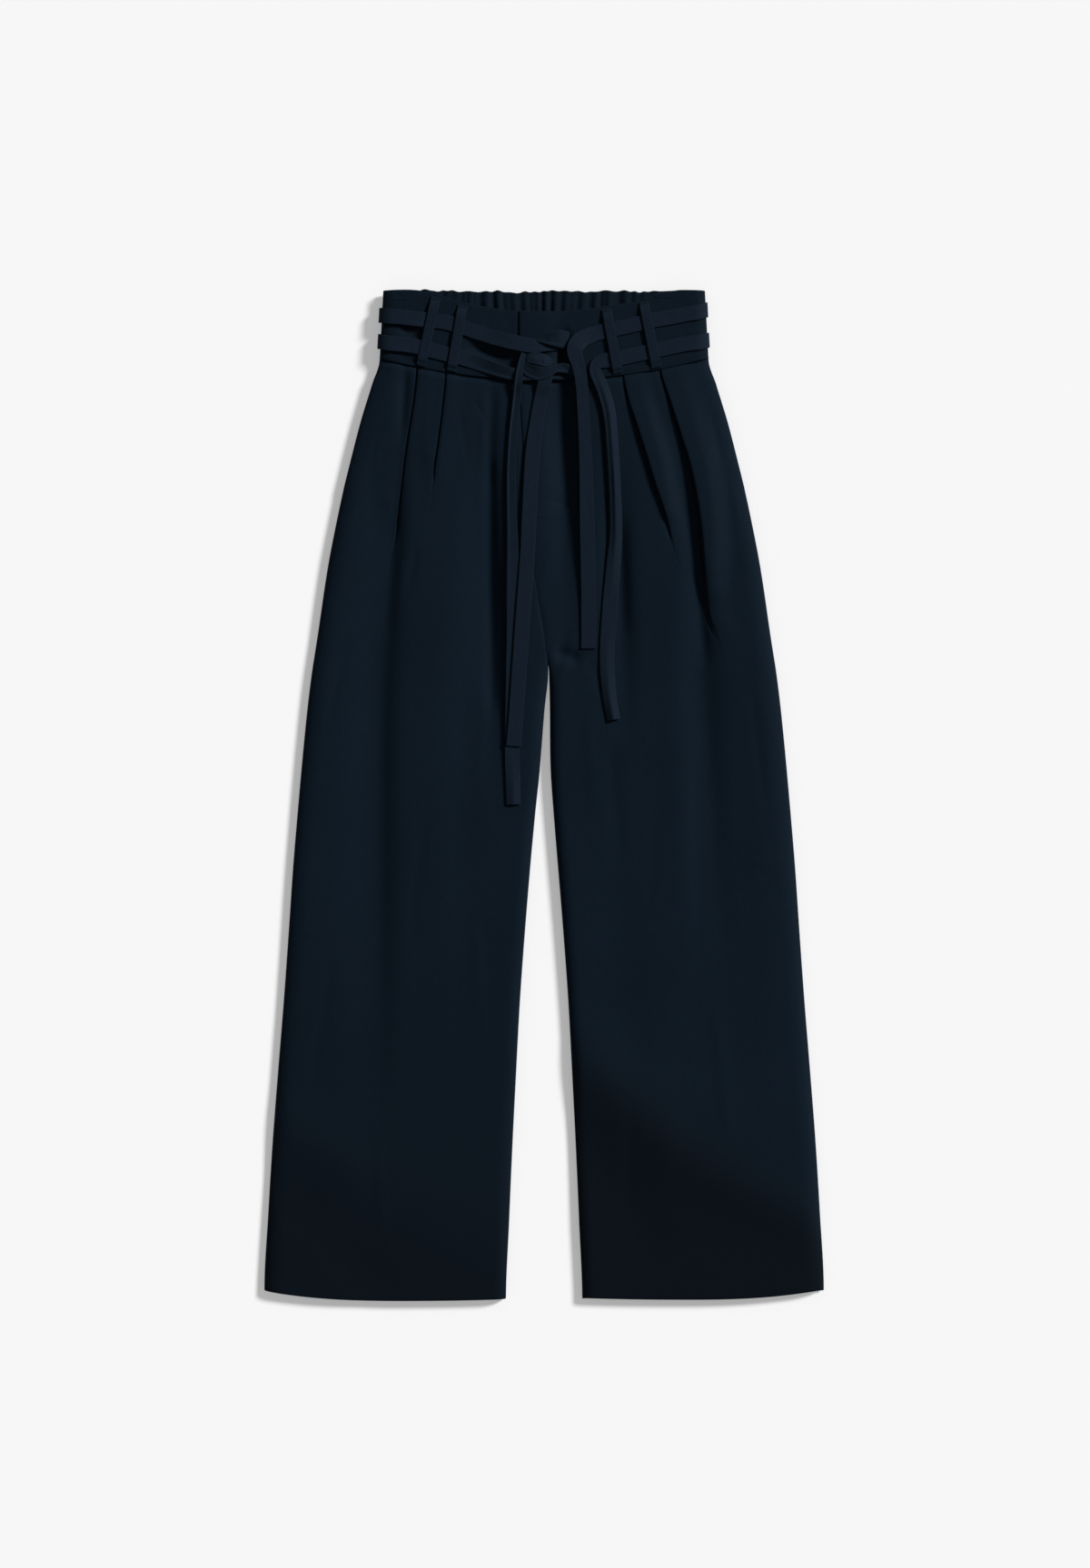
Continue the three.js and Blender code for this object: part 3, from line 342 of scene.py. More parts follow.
# %% Pleats, from the waist down
pleats = {
    "left outer": [
        (436, -129.4, 11, 0.72, 180), (401, -132.5, 11, 0.78, 180), (373, -137, 11, 0.8, 180),
        (341, -141.7, 9, 0.8, 180), (309, -145.6, 4, 0.8, 175), (285, -148.4, 0.5, 0.7, 120),
        (262, -151, 0, 0.9, 45), (236, -154, 0, 3, 10), (200, -158, 0, 12, 2), (-512, -176, 0, 16, 0.6),
    ],
    "left inner": [
        (430, -100.4, 10, 0.68, 180), (392, -103.6, 9, 0.7, 180), (372, -106.2, 7, 0.72, 180),
        (352, -108.8, 4, 0.74, 175), (330, -112, 0.5, 0.6, 120), (306, -114, 0, 0.8, 45),
        (280, -116, 0, 3, 9), (240, -118, 0, 12, 1.5), (-512, -130, 0, 16, 0.6),
    ],
    "right inner": [
        (430, 80.6, 10, 0.68, 180), (400, 85.6, 10, 0.8, 180), (382, 91.4, 10, 1, 180),
        (360, 98.4, 9, 1.2, 180), (339, 105, 8, 1.25, 180), (313, 113, 5, 1.2, 178),
        (292, 120.4, 2, 1, 165), (272, 126.4, 0, 1.2, 80), (250, 130, 0, 2.4, 22), (215, 132.6, 0, 12, 3),
        (120, 135, 0, 16, 1), (-512, 140, 0, 16, 0.6),
    ],
    "right outer": [
        (433, 118.4, 11, 0.68, 180), (401, 127, 11, 0.85, 180), (364, 138.6, 10, 1.2, 180),
        (333, 147.8, 9, 1.5, 180), (300, 154.4, 8, 1.7, 180), (272, 158.4, 6, 1.75, 180),
        (240, 161.4, 3, 1.6, 178), (214, 163.4, 0.5, 1.3, 130), (188, 165.4, 0, 2.4, 45),
        (150, 168.4, 0, 12, 8), (80, 172, 0, 16, 1.2), (-512, 190, 0, 16, 0.6),
    ],
}
pleats = {name: Table("y edge under radius turn", rows) for name, rows in pleats.items()}


def pleat_section(pleat, y, pressed, turns=8, flats=3):
    """How far inwards and how high each point of one pleat is, from its upper layer to its lower one."""
    under, turn = pleat("under", y), math.radians(pleat("turn", y))
    radius = pleat("radius", y) * pressed
    drop = 2 * radius * (1 - math.cos(turn)) + under * math.sin(turn)
    arc = turn * np.arange(turns + 1) / turns
    arc = radius * np.array([np.sin(arc), np.cos(arc)])
    upper = arc + [[0], [drop - radius]]
    back = upper[:, -1:] + max(under, 0.05) * np.array([[math.cos(turn)], [-math.sin(turn)]])
    flat = between(upper[:, -1:], back, np.arange(1, flats + 1) / (flats + 1))
    lower = back + arc[:, -1:] - arc[:, ::-1]
    return *np.hstack([upper, flat, lower]), radius, under, drop


print("pleats:", ", ".join(pleats))

# %% [markdown]
# ## The front legs
# Each front leg is one panel from the waist seam to the hem. At its side seam and inseam it rolls over to
# meet the back leg. Above the crotch the two fronts meet in a seam, with the fly's edge lapped right over
# left. The hem is turned up inside. A row is laid from the side seam inwards, part by part, with more points
# where the cloth turns sharply, because evenly spaced points would blunt the pleats.

# %% One row of a front leg
hem_depth, hem_turn = 33, 0.6
slot_depth = 1.3
top_tuck, seam_gap, seam_drop = 2.6, 0.34, 2.1
beside_pleat = np.array([0.5, 1.1, 1.8, 2.6])


def leg_share(y):
    return ease((crotch + 28 - y) / 50)


def seam_sink(x, y):
    """How far the cloth is drawn down where the waistband is sewn on."""
    return seam_drop * ease((y - seam_y(x) + 7) / 8)


def inner_points(start, end, count):
    return between(start, end, np.arange(1, count) / count)


def front_row(side, outer, inner, v, up=0, deep=0):
    shorter = 1.4 * (side > 0)

    def row_y(x):
        return between(seam_y(x) + top_tuck, hem_y(x) + hem_turn + shorter, v) + up

    y_middle = row_y(leg_middle)
    y_outer = row_y(side * outline("half", y_middle))
    outer_x = outline("half", y_outer) - cloth / 2 - deep
    y_inner = row_y(outline("middle", y_middle))
    turned = leg_share(y_inner)
    fly = ease((y_inner - 282) / 10)
    pocket = ease((y_outer - 305) / 8) * ease((428 - y_outer) / 8)
    inner_end = side * outline("middle", y_inner) + outline("gap", y_inner) + turned * (cloth / 2 + deep)
    inner_end -= (1 - turned) * (0.15 + fly * (2.6 if side < 0 else 0.4))
    width = outer_x - inner_end

    sections = []
    for pleat in (outer, inner):
        y = row_y(pleat("edge", y_middle))
        pressed = between(1, 0.45, ease((y - 250) / 60)) if side < 0 else between(1, 0.62, ease((y - 380) / 45))
        inward, level, radius, under, drop = pleat_section(pleat, y, pressed)
        at = outer_x - side * pleat("edge", y) - radius
        sections.append((at, inward, level, under, drop, at + inward.max() + 0.3))

    def ramp(section, d, length):
        at, _, _, under, drop, _ = section
        return np.where(d <= at, drop * (1 - ease((at - d - under - 2) / length)), 0)

    def beyond(section, end, count):
        hidden, edge = section[0] + section[1][-1], section[5]
        near, far = inner_points(hidden, edge, 3), inner_points(edge + 3.2, end, count)
        return np.concatenate([near, edge + beside_pleat, far])

    def slot(section, d):
        drop, past = section[4], d - section[5]
        hollow = slot_depth * ease(drop - 0.3) * np.exp(-((past - 0.7) / 0.9) ** 2)
        puff = 0.85 * drop * ease((past - 0.9) / 1.1) * (1 - ease((past - 3) / 20)) if side < 0 else 0
        return puff - hollow

    first, second = sections
    roll, rolled = quarter_turn(outer_curl, 11)
    before = np.concatenate([rolled, inner_points(outer_curl, first[0], 18)])
    middle = beyond(first, second[0], 12)
    centre = beyond(second, width - inner_curl, 36)
    roll_in, rolled_in = quarter_turn(inner_curl, 10)
    rolled_in = width - rolled_in[::-1]
    d = np.concatenate([before, first[0] + first[1], middle, second[0] + second[1], centre, rolled_in])
    level = np.concatenate([
        ramp(first, before, 24) + ramp(second, before, 15),
        first[2] + ramp(second, first[0] + first[1], 15),
        ramp(second, middle, 15) + slot(first, middle),
        second[2],
        slot(second, centre),
        np.zeros(len(rolled_in)),
    ])
    x = side * (outer_x - d)
    y = row_y(x)
    z = leg_height(x, y) + crease_height(leg_creases, x, y) + level - deep - seam_sink(x, y)
    turn_over(z, roll, loft("seam", y_outer) + seam_gap + 1.4 * pocket)
    turn_over(z[::-1], roll_in, loft("seam", y_inner) + seam_gap, turned)
    tip = np.exp(-((width - d) / 1.5) ** 2) * (1 - turned)
    z -= tip * (0.55 if side < 0 else 0.25) * (1 - 0.2 * fly)
    z += (0.35 if side > 0 else -0.75) * fly * ease((d - width + 9) / 5)
    if side > 0:
        z -= 0.55 * np.exp(-((d - 2.6) / 0.9) ** 2) * ease((-59 - y) / 40) * ease((y + 505) / 40)
    return xyz(x, y, z)


# %% Lay the front legs
def leg_rows(row, places):
    """Rows down a leg, round the fold of its hem and back up inside it."""
    rows = [row(v) for v in places]
    for angle in np.linspace(0, math.pi, 6)[1:]:
        rows.append(row(1, -hem_turn * math.sin(angle), hem_turn * (1 - math.cos(angle))))
    return np.array(rows + [row(1, up, 2 * hem_turn) for up in np.linspace(3, hem_depth, 7)])


for name, side in both_sides:
    outer, inner = pleats[name + " outer"], pleats[name + " inner"]
    rows = leg_rows(lambda *place: front_row(side, outer, inner, *place), [(i / 330) ** 1.25 for i in range(331)])
    leg = lay_cloth("front_leg_" + name, rows)
    declare(leg, "front_" + name, "trouser_cloth", 0.262)

# %% [markdown]
# ## The back legs
# The back lies on the table, so it is nearly flat. It turns up at the side seam and inseam to meet the
# front. The elastic above gathers it, and the gathers fade out over the seat. They can only rise off the
# table, never sink into it, so the waves are added upwards.

# %% Lay the back legs
def gather(x):
    calm = 1 - ease((np.abs(x) - 96) / 36)
    uneven = x + 4.6 * np.sin(x / 19) + 1.9 * np.sin(x / 7.7)
    return calm * np.sin(2 * math.pi * uneven / 12.4)


back_creases = [
    (-150, 300, -190, 180, 9, 1.6), (-90, 260, -120, 90, 11, 1.4), (-60, 120, -84, -60, 12, 1.3),
    (-180, 40, -206, -160, 13, 1.6), (-110, -120, -128, -340, 14, 1.2), (-214, -260, -232, -420, 11, 1.1),
    (130, 320, 168, 200, 9, 1.5), (84, 240, 112, 60, 11, 1.5), (196, 120, 214, -60, 12, 1.4),
    (70, 40, 92, -140, 12, 1.2), (150, -90, 172, -300, 14, 1.5), (226, -240, 240, -430, 11, 1.1),
]


def back_row(side, v, up=0, deep=0):
    def row_y(x):
        return between(back_seam - 0.3, hem_y(x) + hem_turn, v) + up

    y_middle = row_y(leg_middle)
    outer_x = outline("half", y_middle) - cloth / 2 - deep
    turned = leg_share(y_middle)
    seat = ease((300 - y_middle) / 180)
    middle = outline("middle", min(y_middle, crotch)) * seat
    inner_x = side * middle + outline("gap", y_middle)
    width = outer_x - inner_x - turned * (cloth / 2 + deep) + (1 - turned) * 0.15
    high = loft("seam", y_middle) - seam_gap
    roll, rolled = quarter_turn(back_curl, 8)
    flat = inner_points(back_curl, width - back_curl, 62)
    d = np.concatenate([rolled, flat, width - rolled[::-1]])
    x = side * (outer_x - d)
    y = row_y(x)
    z = loft("back", y) - 0.18 + crease_height(back_creases, x, y) + deep
    z += 1.1 * (1 + gather(x)) * ease((y - 290) / 150)
    turn_over(z, roll, high)
    turn_over(z[::-1], roll, high, turned)
    z += 0.4 * np.exp(-((width - d) / 1.6) ** 2) * (1 - turned)
    return xyz(x, y, z)


for name, side in both_sides:
    rows = leg_rows(lambda *place: back_row(side, *place), [i / 190 for i in range(191)])
    leg = lay_cloth("back_leg_" + name, rows)
    declare(leg, "back_" + name, "trouser_cloth", 0.235)

# %% [markdown]
# ## The waistband
# The front waistband is folded double over the top of the front legs and laps right over left. It dips in
# the middle, so the inner face of the back waistband shows above it. The back one is drawn in by elastic,
# which puts small uneven waves into it. Both are laid as one thick sheet with rounded edges: a second
# hidden layer would add nothing that shows.

# %% Lay the front waistband
band_creases = [
    (-88, 458, -22, 436, 7.5, -4.6), (-150, 471, -120, 466, 5.5, -3.2), (-150, 443, -124, 438, 3.4, -0.9),
    (-20, 448, 14, 446, 7, -1.4), (20, 477, 20, 414, 7, -6.6),
    (155.5, 508.8, 163.8, 496.8, 1.8, -0.7), (140, 508, 150, 497, 2.2, 0.3), (118, 505, 108, 492, 2.6, -0.3),
    (-150, 509, -141, 498, 2.2, -0.4), (-136, 470, -128, 452, 3, -0.35), (-66, 486, -58, 462, 3, 0.3),
    (-40, 488, -34, 470, 3, -0.3), (52, 488, 58, 470, 3, -0.3), (140, 470, 148, 450, 3, -0.35),
    (24, 482, 30, 466, 3, 0.3), (-108, 446, -96, 432, 3, -0.3), (92, 444, 98, 430, 3, -0.3),
]


half_band, soft_edge = 0.75, 0.5


def band_half(v):
    return waist_half(between(back_band_top, back_seam, v)) - band_cloth / 2


def front_band(side, end_x):
    rows = []
    for v in np.linspace(0, 1, 34):
        half = band_half(v)
        roll, rolled = quarter_turn(band_curl, 12)
        flat = between(side * (half - band_curl), end_x, np.arange(1, 91) / 90)
        x = np.concatenate([side * (half - rolled), flat])
        y = between(front_top("y", x), seam_y(x), v)
        z = band_height + (lap_height(x) if side > 0 else 0) + crease_height(band_creases, x, y)
        turn_over(z, roll, band_seam_height + half_band)
        z -= 0.35 * math.exp(-((1 - v) / 0.03) ** 2) + 0.25 * math.exp(-(v / 0.03) ** 2)
        z -= 0.4 * np.exp(-(((x - end_x) / 1.5) ** 2))
        rows.append(xyz(x, y, z))
    return np.array(rows)


for name, side, end_x, flat, area in (("left", -1, lap_under, (0.165, 0.075), 0.0118),
                                      ("right", 1, lap_end, (0.2, 0.075), 0.0142)):
    band = lay_cloth("front_waistband_" + name, front_band(side, end_x), band_cloth, soft_edge)
    declare(band, "waistband_front_" + name, "waistband_cloth", area)


# %% Lay the back waistband
def back_band():
    rows = []
    for v in np.linspace(0, 1, 26):
        half = band_half(v)
        roll, rolled = quarter_turn(back_curl, 7)
        flat = np.linspace(-half + back_curl, half - back_curl, 282)[1:-1]
        x = np.concatenate([rolled - half, flat, half - rolled[::-1]])
        top = back_band_top + 0.5 * np.sin(x / 9) + 0.3 * np.sin(x / 4.1) + 0.5 * gather(x + 3)
        top += crease_height([(-120, 505, -120, 525, 6, 2.2), (-32, 505, -32, 525, 12, -1.6)], x, 515)
        y = between(top, back_seam, v)
        lean = x + 5 * (v - 0.5) * np.sin(x / 23)
        uneven = 0.62 + 0.38 * np.sin(x / 10.3 + 0.8)
        waves = 1.25 * uneven * gather(lean) + 0.6 * gather(1.45 * lean + 9) * (1.3 - uneven)
        waves += 0.12 * np.sin(x / 2.6)
        casing = np.exp(-((v - 0.09) / 0.02) ** 2) + np.exp(-((v - 0.9) / 0.02) ** 2)
        z = back_band_height + waves * (1 - 0.35 * casing) - 0.25 * casing
        for way in (1, -1):
            turn_over(z[::way], roll, band_seam_height - half_band)
        rows.append(xyz(x, y, z))
    return np.array(rows)


back_waist = lay_cloth("back_waistband", back_band(), band_cloth, soft_edge)
declare(back_waist, "waistband_back", "waistband_cloth", 0.0262)

# %% [markdown]
# ## The belt
# The belt is two long straps, each a folded strip about 15 mm wide and pressed flat. They run round the back
# under two loops, come forward over the side edges, pass under four loops and are tied once near the middle.
# Each front run is a path of points, with the strap's lift off the cloth below, how its two halves droop like
# a roof, its width, its rolled edge and its slope. A smooth curve through the points, and a flat section swept
# along it, keeps the width true, which dragging a plane round by hand would not.

# %% Follow a path
strap_lift, strap_width, strap_points = 1, 15, 13
feel_across, feel_along = (-1.1, -0.5, 0, 0.5, 1.1), (-6, -3, 0, 3, 6)


class Path:
    """A smooth curve through a path's points, with the path's other columns read along it."""

    def __init__(self, rows):
        rows = [tuple(row) + (0, strap_width, 0, 0)[len(row) - 3:] for row in rows]
        self.points = np.array([row[:2] for row in rows], float)
        self.travelled = travel(self.points)
        self.length = self.travelled[-1]
        marks = [(at,) + row[2:] for at, row in zip(self.travelled, rows)]
        self.columns = Table("at lift droop width rolled tilt", marks)
        ends = [2 * self.points[0] - self.points[1], 2 * self.points[-1] - self.points[-2]]
        self.guides = np.vstack([ends[0], self.points, ends[1]])

    def point(self, at):
        i = min(max(int(np.searchsorted(self.travelled, at, side="right")) - 1, 0), len(self.points) - 2)
        t = (at - self.travelled[i]) / (self.travelled[i + 1] - self.travelled[i])
        p0, p1, p2, p3 = self.guides[i:i + 4]
        a, b, c = (math.sqrt(np.linalg.norm(q - p)) for p, q in ((p0, p1), (p1, p2), (p2, p3)))
        start = b * ((p1 - p0) / a - (p2 - p0) / (a + b) + (p2 - p1) / b)
        end = b * ((p2 - p1) / b - (p3 - p1) / (b + c) + (p3 - p2) / c)
        bend = (-3 * p1 + 3 * p2 - 2 * start - end) * t ** 2
        return p1 + start * t + bend + (2 * p1 - 2 * p2 + start + end) * t ** 3

    def ahead(self, at):
        low, high = max(at - 0.4, 0), min(at + 0.4, self.length)
        step = self.point(high) - self.point(low)
        return step / np.linalg.norm(step)


def swept(rows, steps, wrinkles=(), across=strap_points):
    """Rows of points across a strap that follows a path, bridging the hollows under it."""
    path = Path(rows)
    places = np.linspace(0, path.length, steps + 1)
    u = np.linspace(-1, 1, across)

    def column(name):
        return path.columns(name, places)[:, None]

    centres = np.array([path.point(at) for at in places])
    heads = np.array([path.ahead(at) for at in places])
    sides = np.stack([-heads[:, 1], heads[:, 0]], axis=-1)
    half, droop = column("width") / 2, np.radians(column("droop"))
    spread = half * np.cos(droop)
    highest = np.full(len(places), -np.inf)
    for aside in feel_across:
        for along in feel_along:
            x, y = (centres + sides * aside * spread + heads * along).T
            highest = np.maximum(highest, carrier(x, y))
    kernel = np.hanning(9)[1:-1]
    highest = np.convolve(np.pad(highest, 3, mode="edge"), kernel / kernel.sum(), mode="valid")
    ridge = (1 - u ** 2 / (np.abs(u) + 0.09) * 1.09) * half * np.sin(droop)
    x, y = centres.T[:, :, None] + sides.T[:, :, None] * spread * u
    z = highest[:, None] + column("lift") + ridge + crease_height(wrinkles, x, y) + column("tilt") * half * u
    rolled = column("rolled")
    z += np.abs(rolled) * np.exp(-(((u + 0.82 * np.sign(rolled)) / 0.22) ** 2))
    return xyz(x, y, z)


# %% [markdown]
# ## Round the sides and the back
# At each side edge of the waist a strap turns over the rolled cloth and goes down to the back. These rows
# follow the same quarter turns as the waistband, a strap's thickness further out, so that the strap hugs the
# edge from any side.

# %% A whole strap
back_strap_height, back_loop_x = 2.1, 84


def side_turn(side, front_y, edge_y, back_y, lift):
    """A strap's way over the waist's side edge, as shares of a quarter turn in front and one behind."""
    u = np.linspace(-1, 1, strap_points)
    front = (band_curl, band_height - band_seam_height, front_y, 0.8 + lift + 0.3)
    back = (back_curl, back_band_height - band_seam_height, back_y, back_strap_height)
    places = [(share, *front) for share in np.linspace(0.92, 0, 16)]
    places += [(share, *back) for share in np.linspace(0.07, 1, 12)]
    rows = []
    for share, deep, high, far_y, offset in places:
        angle = math.pi / 2 * share
        out = np.array([math.cos(angle) / deep, math.sin(angle) / high])
        out *= offset / np.linalg.norm(out)
        y = between(edge_y, far_y, share) + u * strap_width / 2
        x = waist_half(y) - 0.8 - deep * (1 - math.cos(angle)) + out[0]
        rows.append(xyz(side * x, y, band_seam_height + high * math.sin(angle) + out[1]))
    return np.array(rows)


def whole_strap(left, right, left_y, right_y, back_y, steps, wrinkles):
    left_run = swept(left, steps[0], wrinkles)[:, ::-1]
    right_run = swept(right, steps[1], wrinkles)[:, ::-1]
    u = np.linspace(-1, 1, strap_points)
    back_run = [xyz(x, back_y + 0.6 * math.sin(x / 31) + u * strap_width / 2, back_strap_height)
                for x in np.linspace(-144, 144, 40)]
    left_turn = side_turn(-1, left[-1][1], left_y, back_y, left[-1][2])
    right_turn = side_turn(1, right[0][1], right_y, back_y, right[0][2])[::-1]
    rows = np.concatenate([left_run, left_turn, back_run, right_turn, right_run])
    for _ in range(4):
        rows[1:-1] = (rows[:-2] + 2 * rows[1:-1] + rows[2:]) / 4
    return rows


# %% [markdown]
# ## The paths of the straps
# The straps sag between the loops and at the sides, cross at the knot, and their ends hang down the front.
# Each row below is a point of a strap's middle line, with as many of its five measures as it needs.

# %% Lay the belt
# x, y, lift, droop in degrees, width, how high one edge has rolled up, and the slope across
upper_left = [
    (14, 450.6, -1, 0, 2), (6, 451.6, 1, 0, 5), (-4, 453, 2.6, 0, 11.5), (-14, 454.2, 3.6, 0, 14.8),
    (-30, 457.2, 3.8), (-50, 462.4, 2.6), (-72, 469.6, 1.3), (-85, 473.8, 1), (-100, 478.2, 1),
    (-116, 480, 1), (-130, 481.6, 2.4), (-146, 483.4, 2.8),
]
lower_left = [
    (-12, 427, 1), (-24, 424.6, 1, 0, 12, -0.8, -0.2), (-37, 426.4, 1.8, 0, 12.5, -1.3, -0.36),
    (-50, 430.2, 2.2, 0, 13, -1.3, -0.4), (-68, 437, 1.4, 0, 14.6, -0.6, -0.2), (-82, 441.8, 1),
    (-96, 445.2, 1), (-114, 449.6, 1), (-128, 453.2, 2.2), (-146, 456, 2.6),
]
upper_right = [
    (146, 487, 1.4), (134, 484.2, 1.2), (111, 480.2, 1), (84, 474, 1), (63, 469.4, 1), (53, 467, 1.1, 0, 15.4),
    (44, 463.6, 2, 0, 16.5), (36, 459.2, 3.8, 0, 17.5), (31.2, 452.6, 5.2, 0, 17), (31.2, 445, 5.2, 0, 15.5),
    (34, 437, 5.4, 0, 13.6), (37.4, 420, 5.4, 0, 12.4), (39.6, 388, 5, 0, 12), (42, 340, 4.2, 0, 13),
    (43.8, 262, 2.6), (45, 200, 1.4), (45, 148.4, 1),
]
lower_right = [
    (146, 456.8, 1.4), (118, 450.8, 1), (93, 445.4, 1), (74, 441.2, 1), (62, 439.4, 1), (54, 437.4, 1.2, 0, 13.5),
    (50.6, 431.6, 1.4, 0, 12, 0.4), (53.4, 424, 1.4, 6, 13, 0.9), (58.2, 413, 1.2, 16, 14, 1.3),
    (62, 402, 1.2, 24, 14.6, 1.5), (65.6, 388, 1, 28, 15, 1.6), (69, 350, 1, 32, 15, 1.5),
    (71, 316, 1, 34, 15, 1.4), (72.4, 268, 1, 30, 15, 1), (70.4, 236, 1, 14, 15, 0.4), (66.4, 190, 1),
    (63.6, 140, 1, 8), (66, 102, 1, 20), (70.4, 76.4, 1, 28),
]
upper_wrinkles = [
    (-128, 488, -134, 474, 2.4, -0.4), (-62, 472, -70, 461, 2.4, 0.4), (-40, 462, -34, 452, 2.2, -0.4),
    (52, 474, 60, 462, 2, -0.4), (92, 482, 98, 470, 2, 0.35), (122, 489, 129, 476, 2, -0.4),
    (32, 440, 41, 426, 2.2, -0.4), (36, 360, 46, 344, 3, 0.3), (39, 300, 49, 282, 3, -0.3),
]
lower_wrinkles = [
    (-132, 460, -138, 446, 2.2, -0.4), (-108, 454, -112, 440, 2.2, 0.35), (84, 450, 90, 437, 2, 0.35),
    (104, 455, 109, 442, 2, -0.4), (128, 460, 134, 446, 2, 0.35), (60, 444, 66, 434, 2, -0.35),
]


def lay_strap(name, points):
    return lay_cloth(name, points, strap_cloth, 0.4)


upper = whole_strap(upper_left, upper_right, 485.8, 492, 488.6, (84, 210), upper_wrinkles)
lower = whole_strap(lower_left, lower_right, 459.6, 461, 460.2, (70, 230), lower_wrinkles)
upper_strap, lower_strap = lay_strap("upper_strap", upper), lay_strap("lower_strap", lower)
declare(upper_strap, "belt_upper", "belt_cloth", 0.0147)
declare(lower_strap, "belt_lower", "belt_cloth", 0.0153)

# %% [markdown]
# ## The knot and the other two ends
# The straps' left ends come through the knot and hang as two more ends. The knot itself is a wrap that
# crosses low over the middle, a turn inside it, and a small bight over the top. They are short swept straps:
# a single lump would not show the dark hollows between the turns that make a knot read as one.

# %% Lay the knot and the hanging ends
end_left = [
    (-20.4, 446.4, 3, 0, 5, 0.5), (-22.8, 438, 3.2, 0, 6, 1.2), (-24.6, 428, 3.2, 0, 7, 1.6, 0.1),
    (-26, 416, 3, 0, 8, 1.6, 0.2), (-28, 396, 2.6, 0, 8.4, 1.6, 0.24), (-31.4, 366, 2.2, 0, 8.4, 1.4, 0.24),
    (-33.4, 320, 2, 0, 9, 1.2, 0.2), (-32, 262, 1.6, 0, 11, 0.8, 0.1), (-30.8, 210, 1.2, 0, 14, 0.3),
    (-30.2, 171, 1), (-31.2, 110, 1), (-32, 51, 1), (-30.8, -9.2, 1, 16),
]
end_centre = [
    (4, 430, 1, 0, 13), (0.8, 418, 1.2, 0, 13.6), (-6, 386, 1, 0, 14), (-11.4, 346, 1.8), (-14.6, 290, 3),
    (-17, 240, 3), (-22, 171, 2.9), (-28.4, 79, 2.9), (-30.8, 49.6, 2.9),
]
wrap = [
    (-19, 446, 1, 0, 4, 0.2, 0.1), (-21.4, 437.4, 2, 0, 8, 0.8, 0.25), (-17, 430, 2.6, 0, 12, 1.2, 0.36),
    (-7, 426, 3, 0, 14, 1.4, 0.4), (3, 426.8, 3.2, 0, 11, 1.4, 0.34), (11, 430, 3.2, 0, 7, 1.1, 0.3),
    (18, 431.6, 3, 0, 9, 0.9, 0.4), (25, 430.4, 2.4, 0, 9, 0.6, 0.4), (33, 427.4, 1.2, 0, 8, 0.2, 0.3),
]
inner_turn = [
    (-21.6, 442.4, 1.4, 0, 5), (-15, 441.2, 4, 3, 10, 0, -0.05), (-7, 440.6, 5.4, 5, 12.5, 0, -0.1),
    (1, 438.6, 4.8, 5, 12, 0, -0.1), (8, 436, 1.6, 3, 8),
]
bight = [
    (-8, 459.2, 3.2, 0, 1.6, 0.2), (-1, 459.6, 4, 0, 6.5, 0.6, 0.1), (7, 460.2, 5.4, 0, 12.5, 0.9, 0.3),
    (14, 460.6, 5.8, 0, 16, 0.9, 0.42), (20, 460.4, 3.6, 0, 17, 0.5, 0.36), (25, 460, 1.4, 0, 16, 0.3, 0.2),
]
knot_wrinkles = [
    (-18, 434, -8, 427, 1.5, -0.4), (-2, 444, 2, 434, 1.1, 0.5), (14, 436, 24, 430, 1.2, -0.5),
    (-14, 446, -4, 443, 1.3, -0.4),
]
tie_left = lay_strap("hanging_end_left", swept(end_left, 190))
tie_centre = lay_strap("hanging_end_centre", swept(end_centre, 150))
inner = lay_strap("inner_turn_of_knot", swept(inner_turn, 36, knot_wrinkles))
outer = lay_strap("wrap_of_knot", swept(wrap, 60, knot_wrinkles))
knot_wrap = join([outer, inner])
knot_bight = lay_strap("bight_of_knot", swept(bight, 34, knot_wrinkles))
declare(tie_left, "tie_end_left", "belt_cloth", 0.0068)
declare(tie_centre, "tie_end_centre", "belt_cloth", 0.0057)
declare(knot_wrap, "knot_wrap", "belt_cloth", 0.0012)
declare(knot_bight, "knot_bight", "belt_cloth", 0.00034)

# %% [markdown]
# ## Belt loops
# A belt loop is a narrow folded strip, stitched down at both ends, with its middle free over the straps. The
# front four stand over the straps, and the two on the back lie between the straps and the table.

# %% Lay the loops
front_loops = {
    "loop_1": (-109, 503.6, -124.2, 433.8, 489, 442), "loop_2": (-82, 495.2, -93.4, 428.6, 484, 435.4),
    "loop_3": (63, 491.6, 74.8, 426.4, 480, 432), "loop_4": (100.6, 498.4, 113.6, 432.2, 489, 441),
}


def front_loop(top_x, top_y, end_x, end_y, clear_from, clear_to):
    over = 2 * strap_lift + strap_cloth / 2 + 0.3
    heights = (top_y, top_y - 3, clear_from, clear_to, end_y + 3, end_y)
    lifts = (0.75, strap_lift, over, over, strap_lift, 0.75)
    shares = [(top_y - y) / (top_y - end_y) for y in heights]
    rows = [(between(top_x, end_x, share), y, lift, 0, 10) for share, y, lift in zip(shares, heights, lifts)]
    return swept(rows, 60, across=7)


def back_loop(side):
    places = Table("y z", [(447, 2.4), (448.8, 1.6), (450.6, 0.62), (498, 0.62), (499.5, 1.6), (501, 2.4)])
    u = np.linspace(-5, 5, 7)
    return np.array([xyz(side * back_loop_x + u, y, places("z", y)) for y in np.linspace(501, 447, 50)])


for name, places in front_loops.items():
    loop = lay_cloth("belt_" + name, front_loop(*places), loop_cloth, 0.35)
    declare(loop, name, "loop_cloth", 0.0007)
for name, side in both_sides:
    loop = lay_cloth("belt_loop_back_" + name, back_loop(side), loop_cloth, 0.35)
    declare(loop, "loop_back_" + name, "loop_cloth", 0.00056)

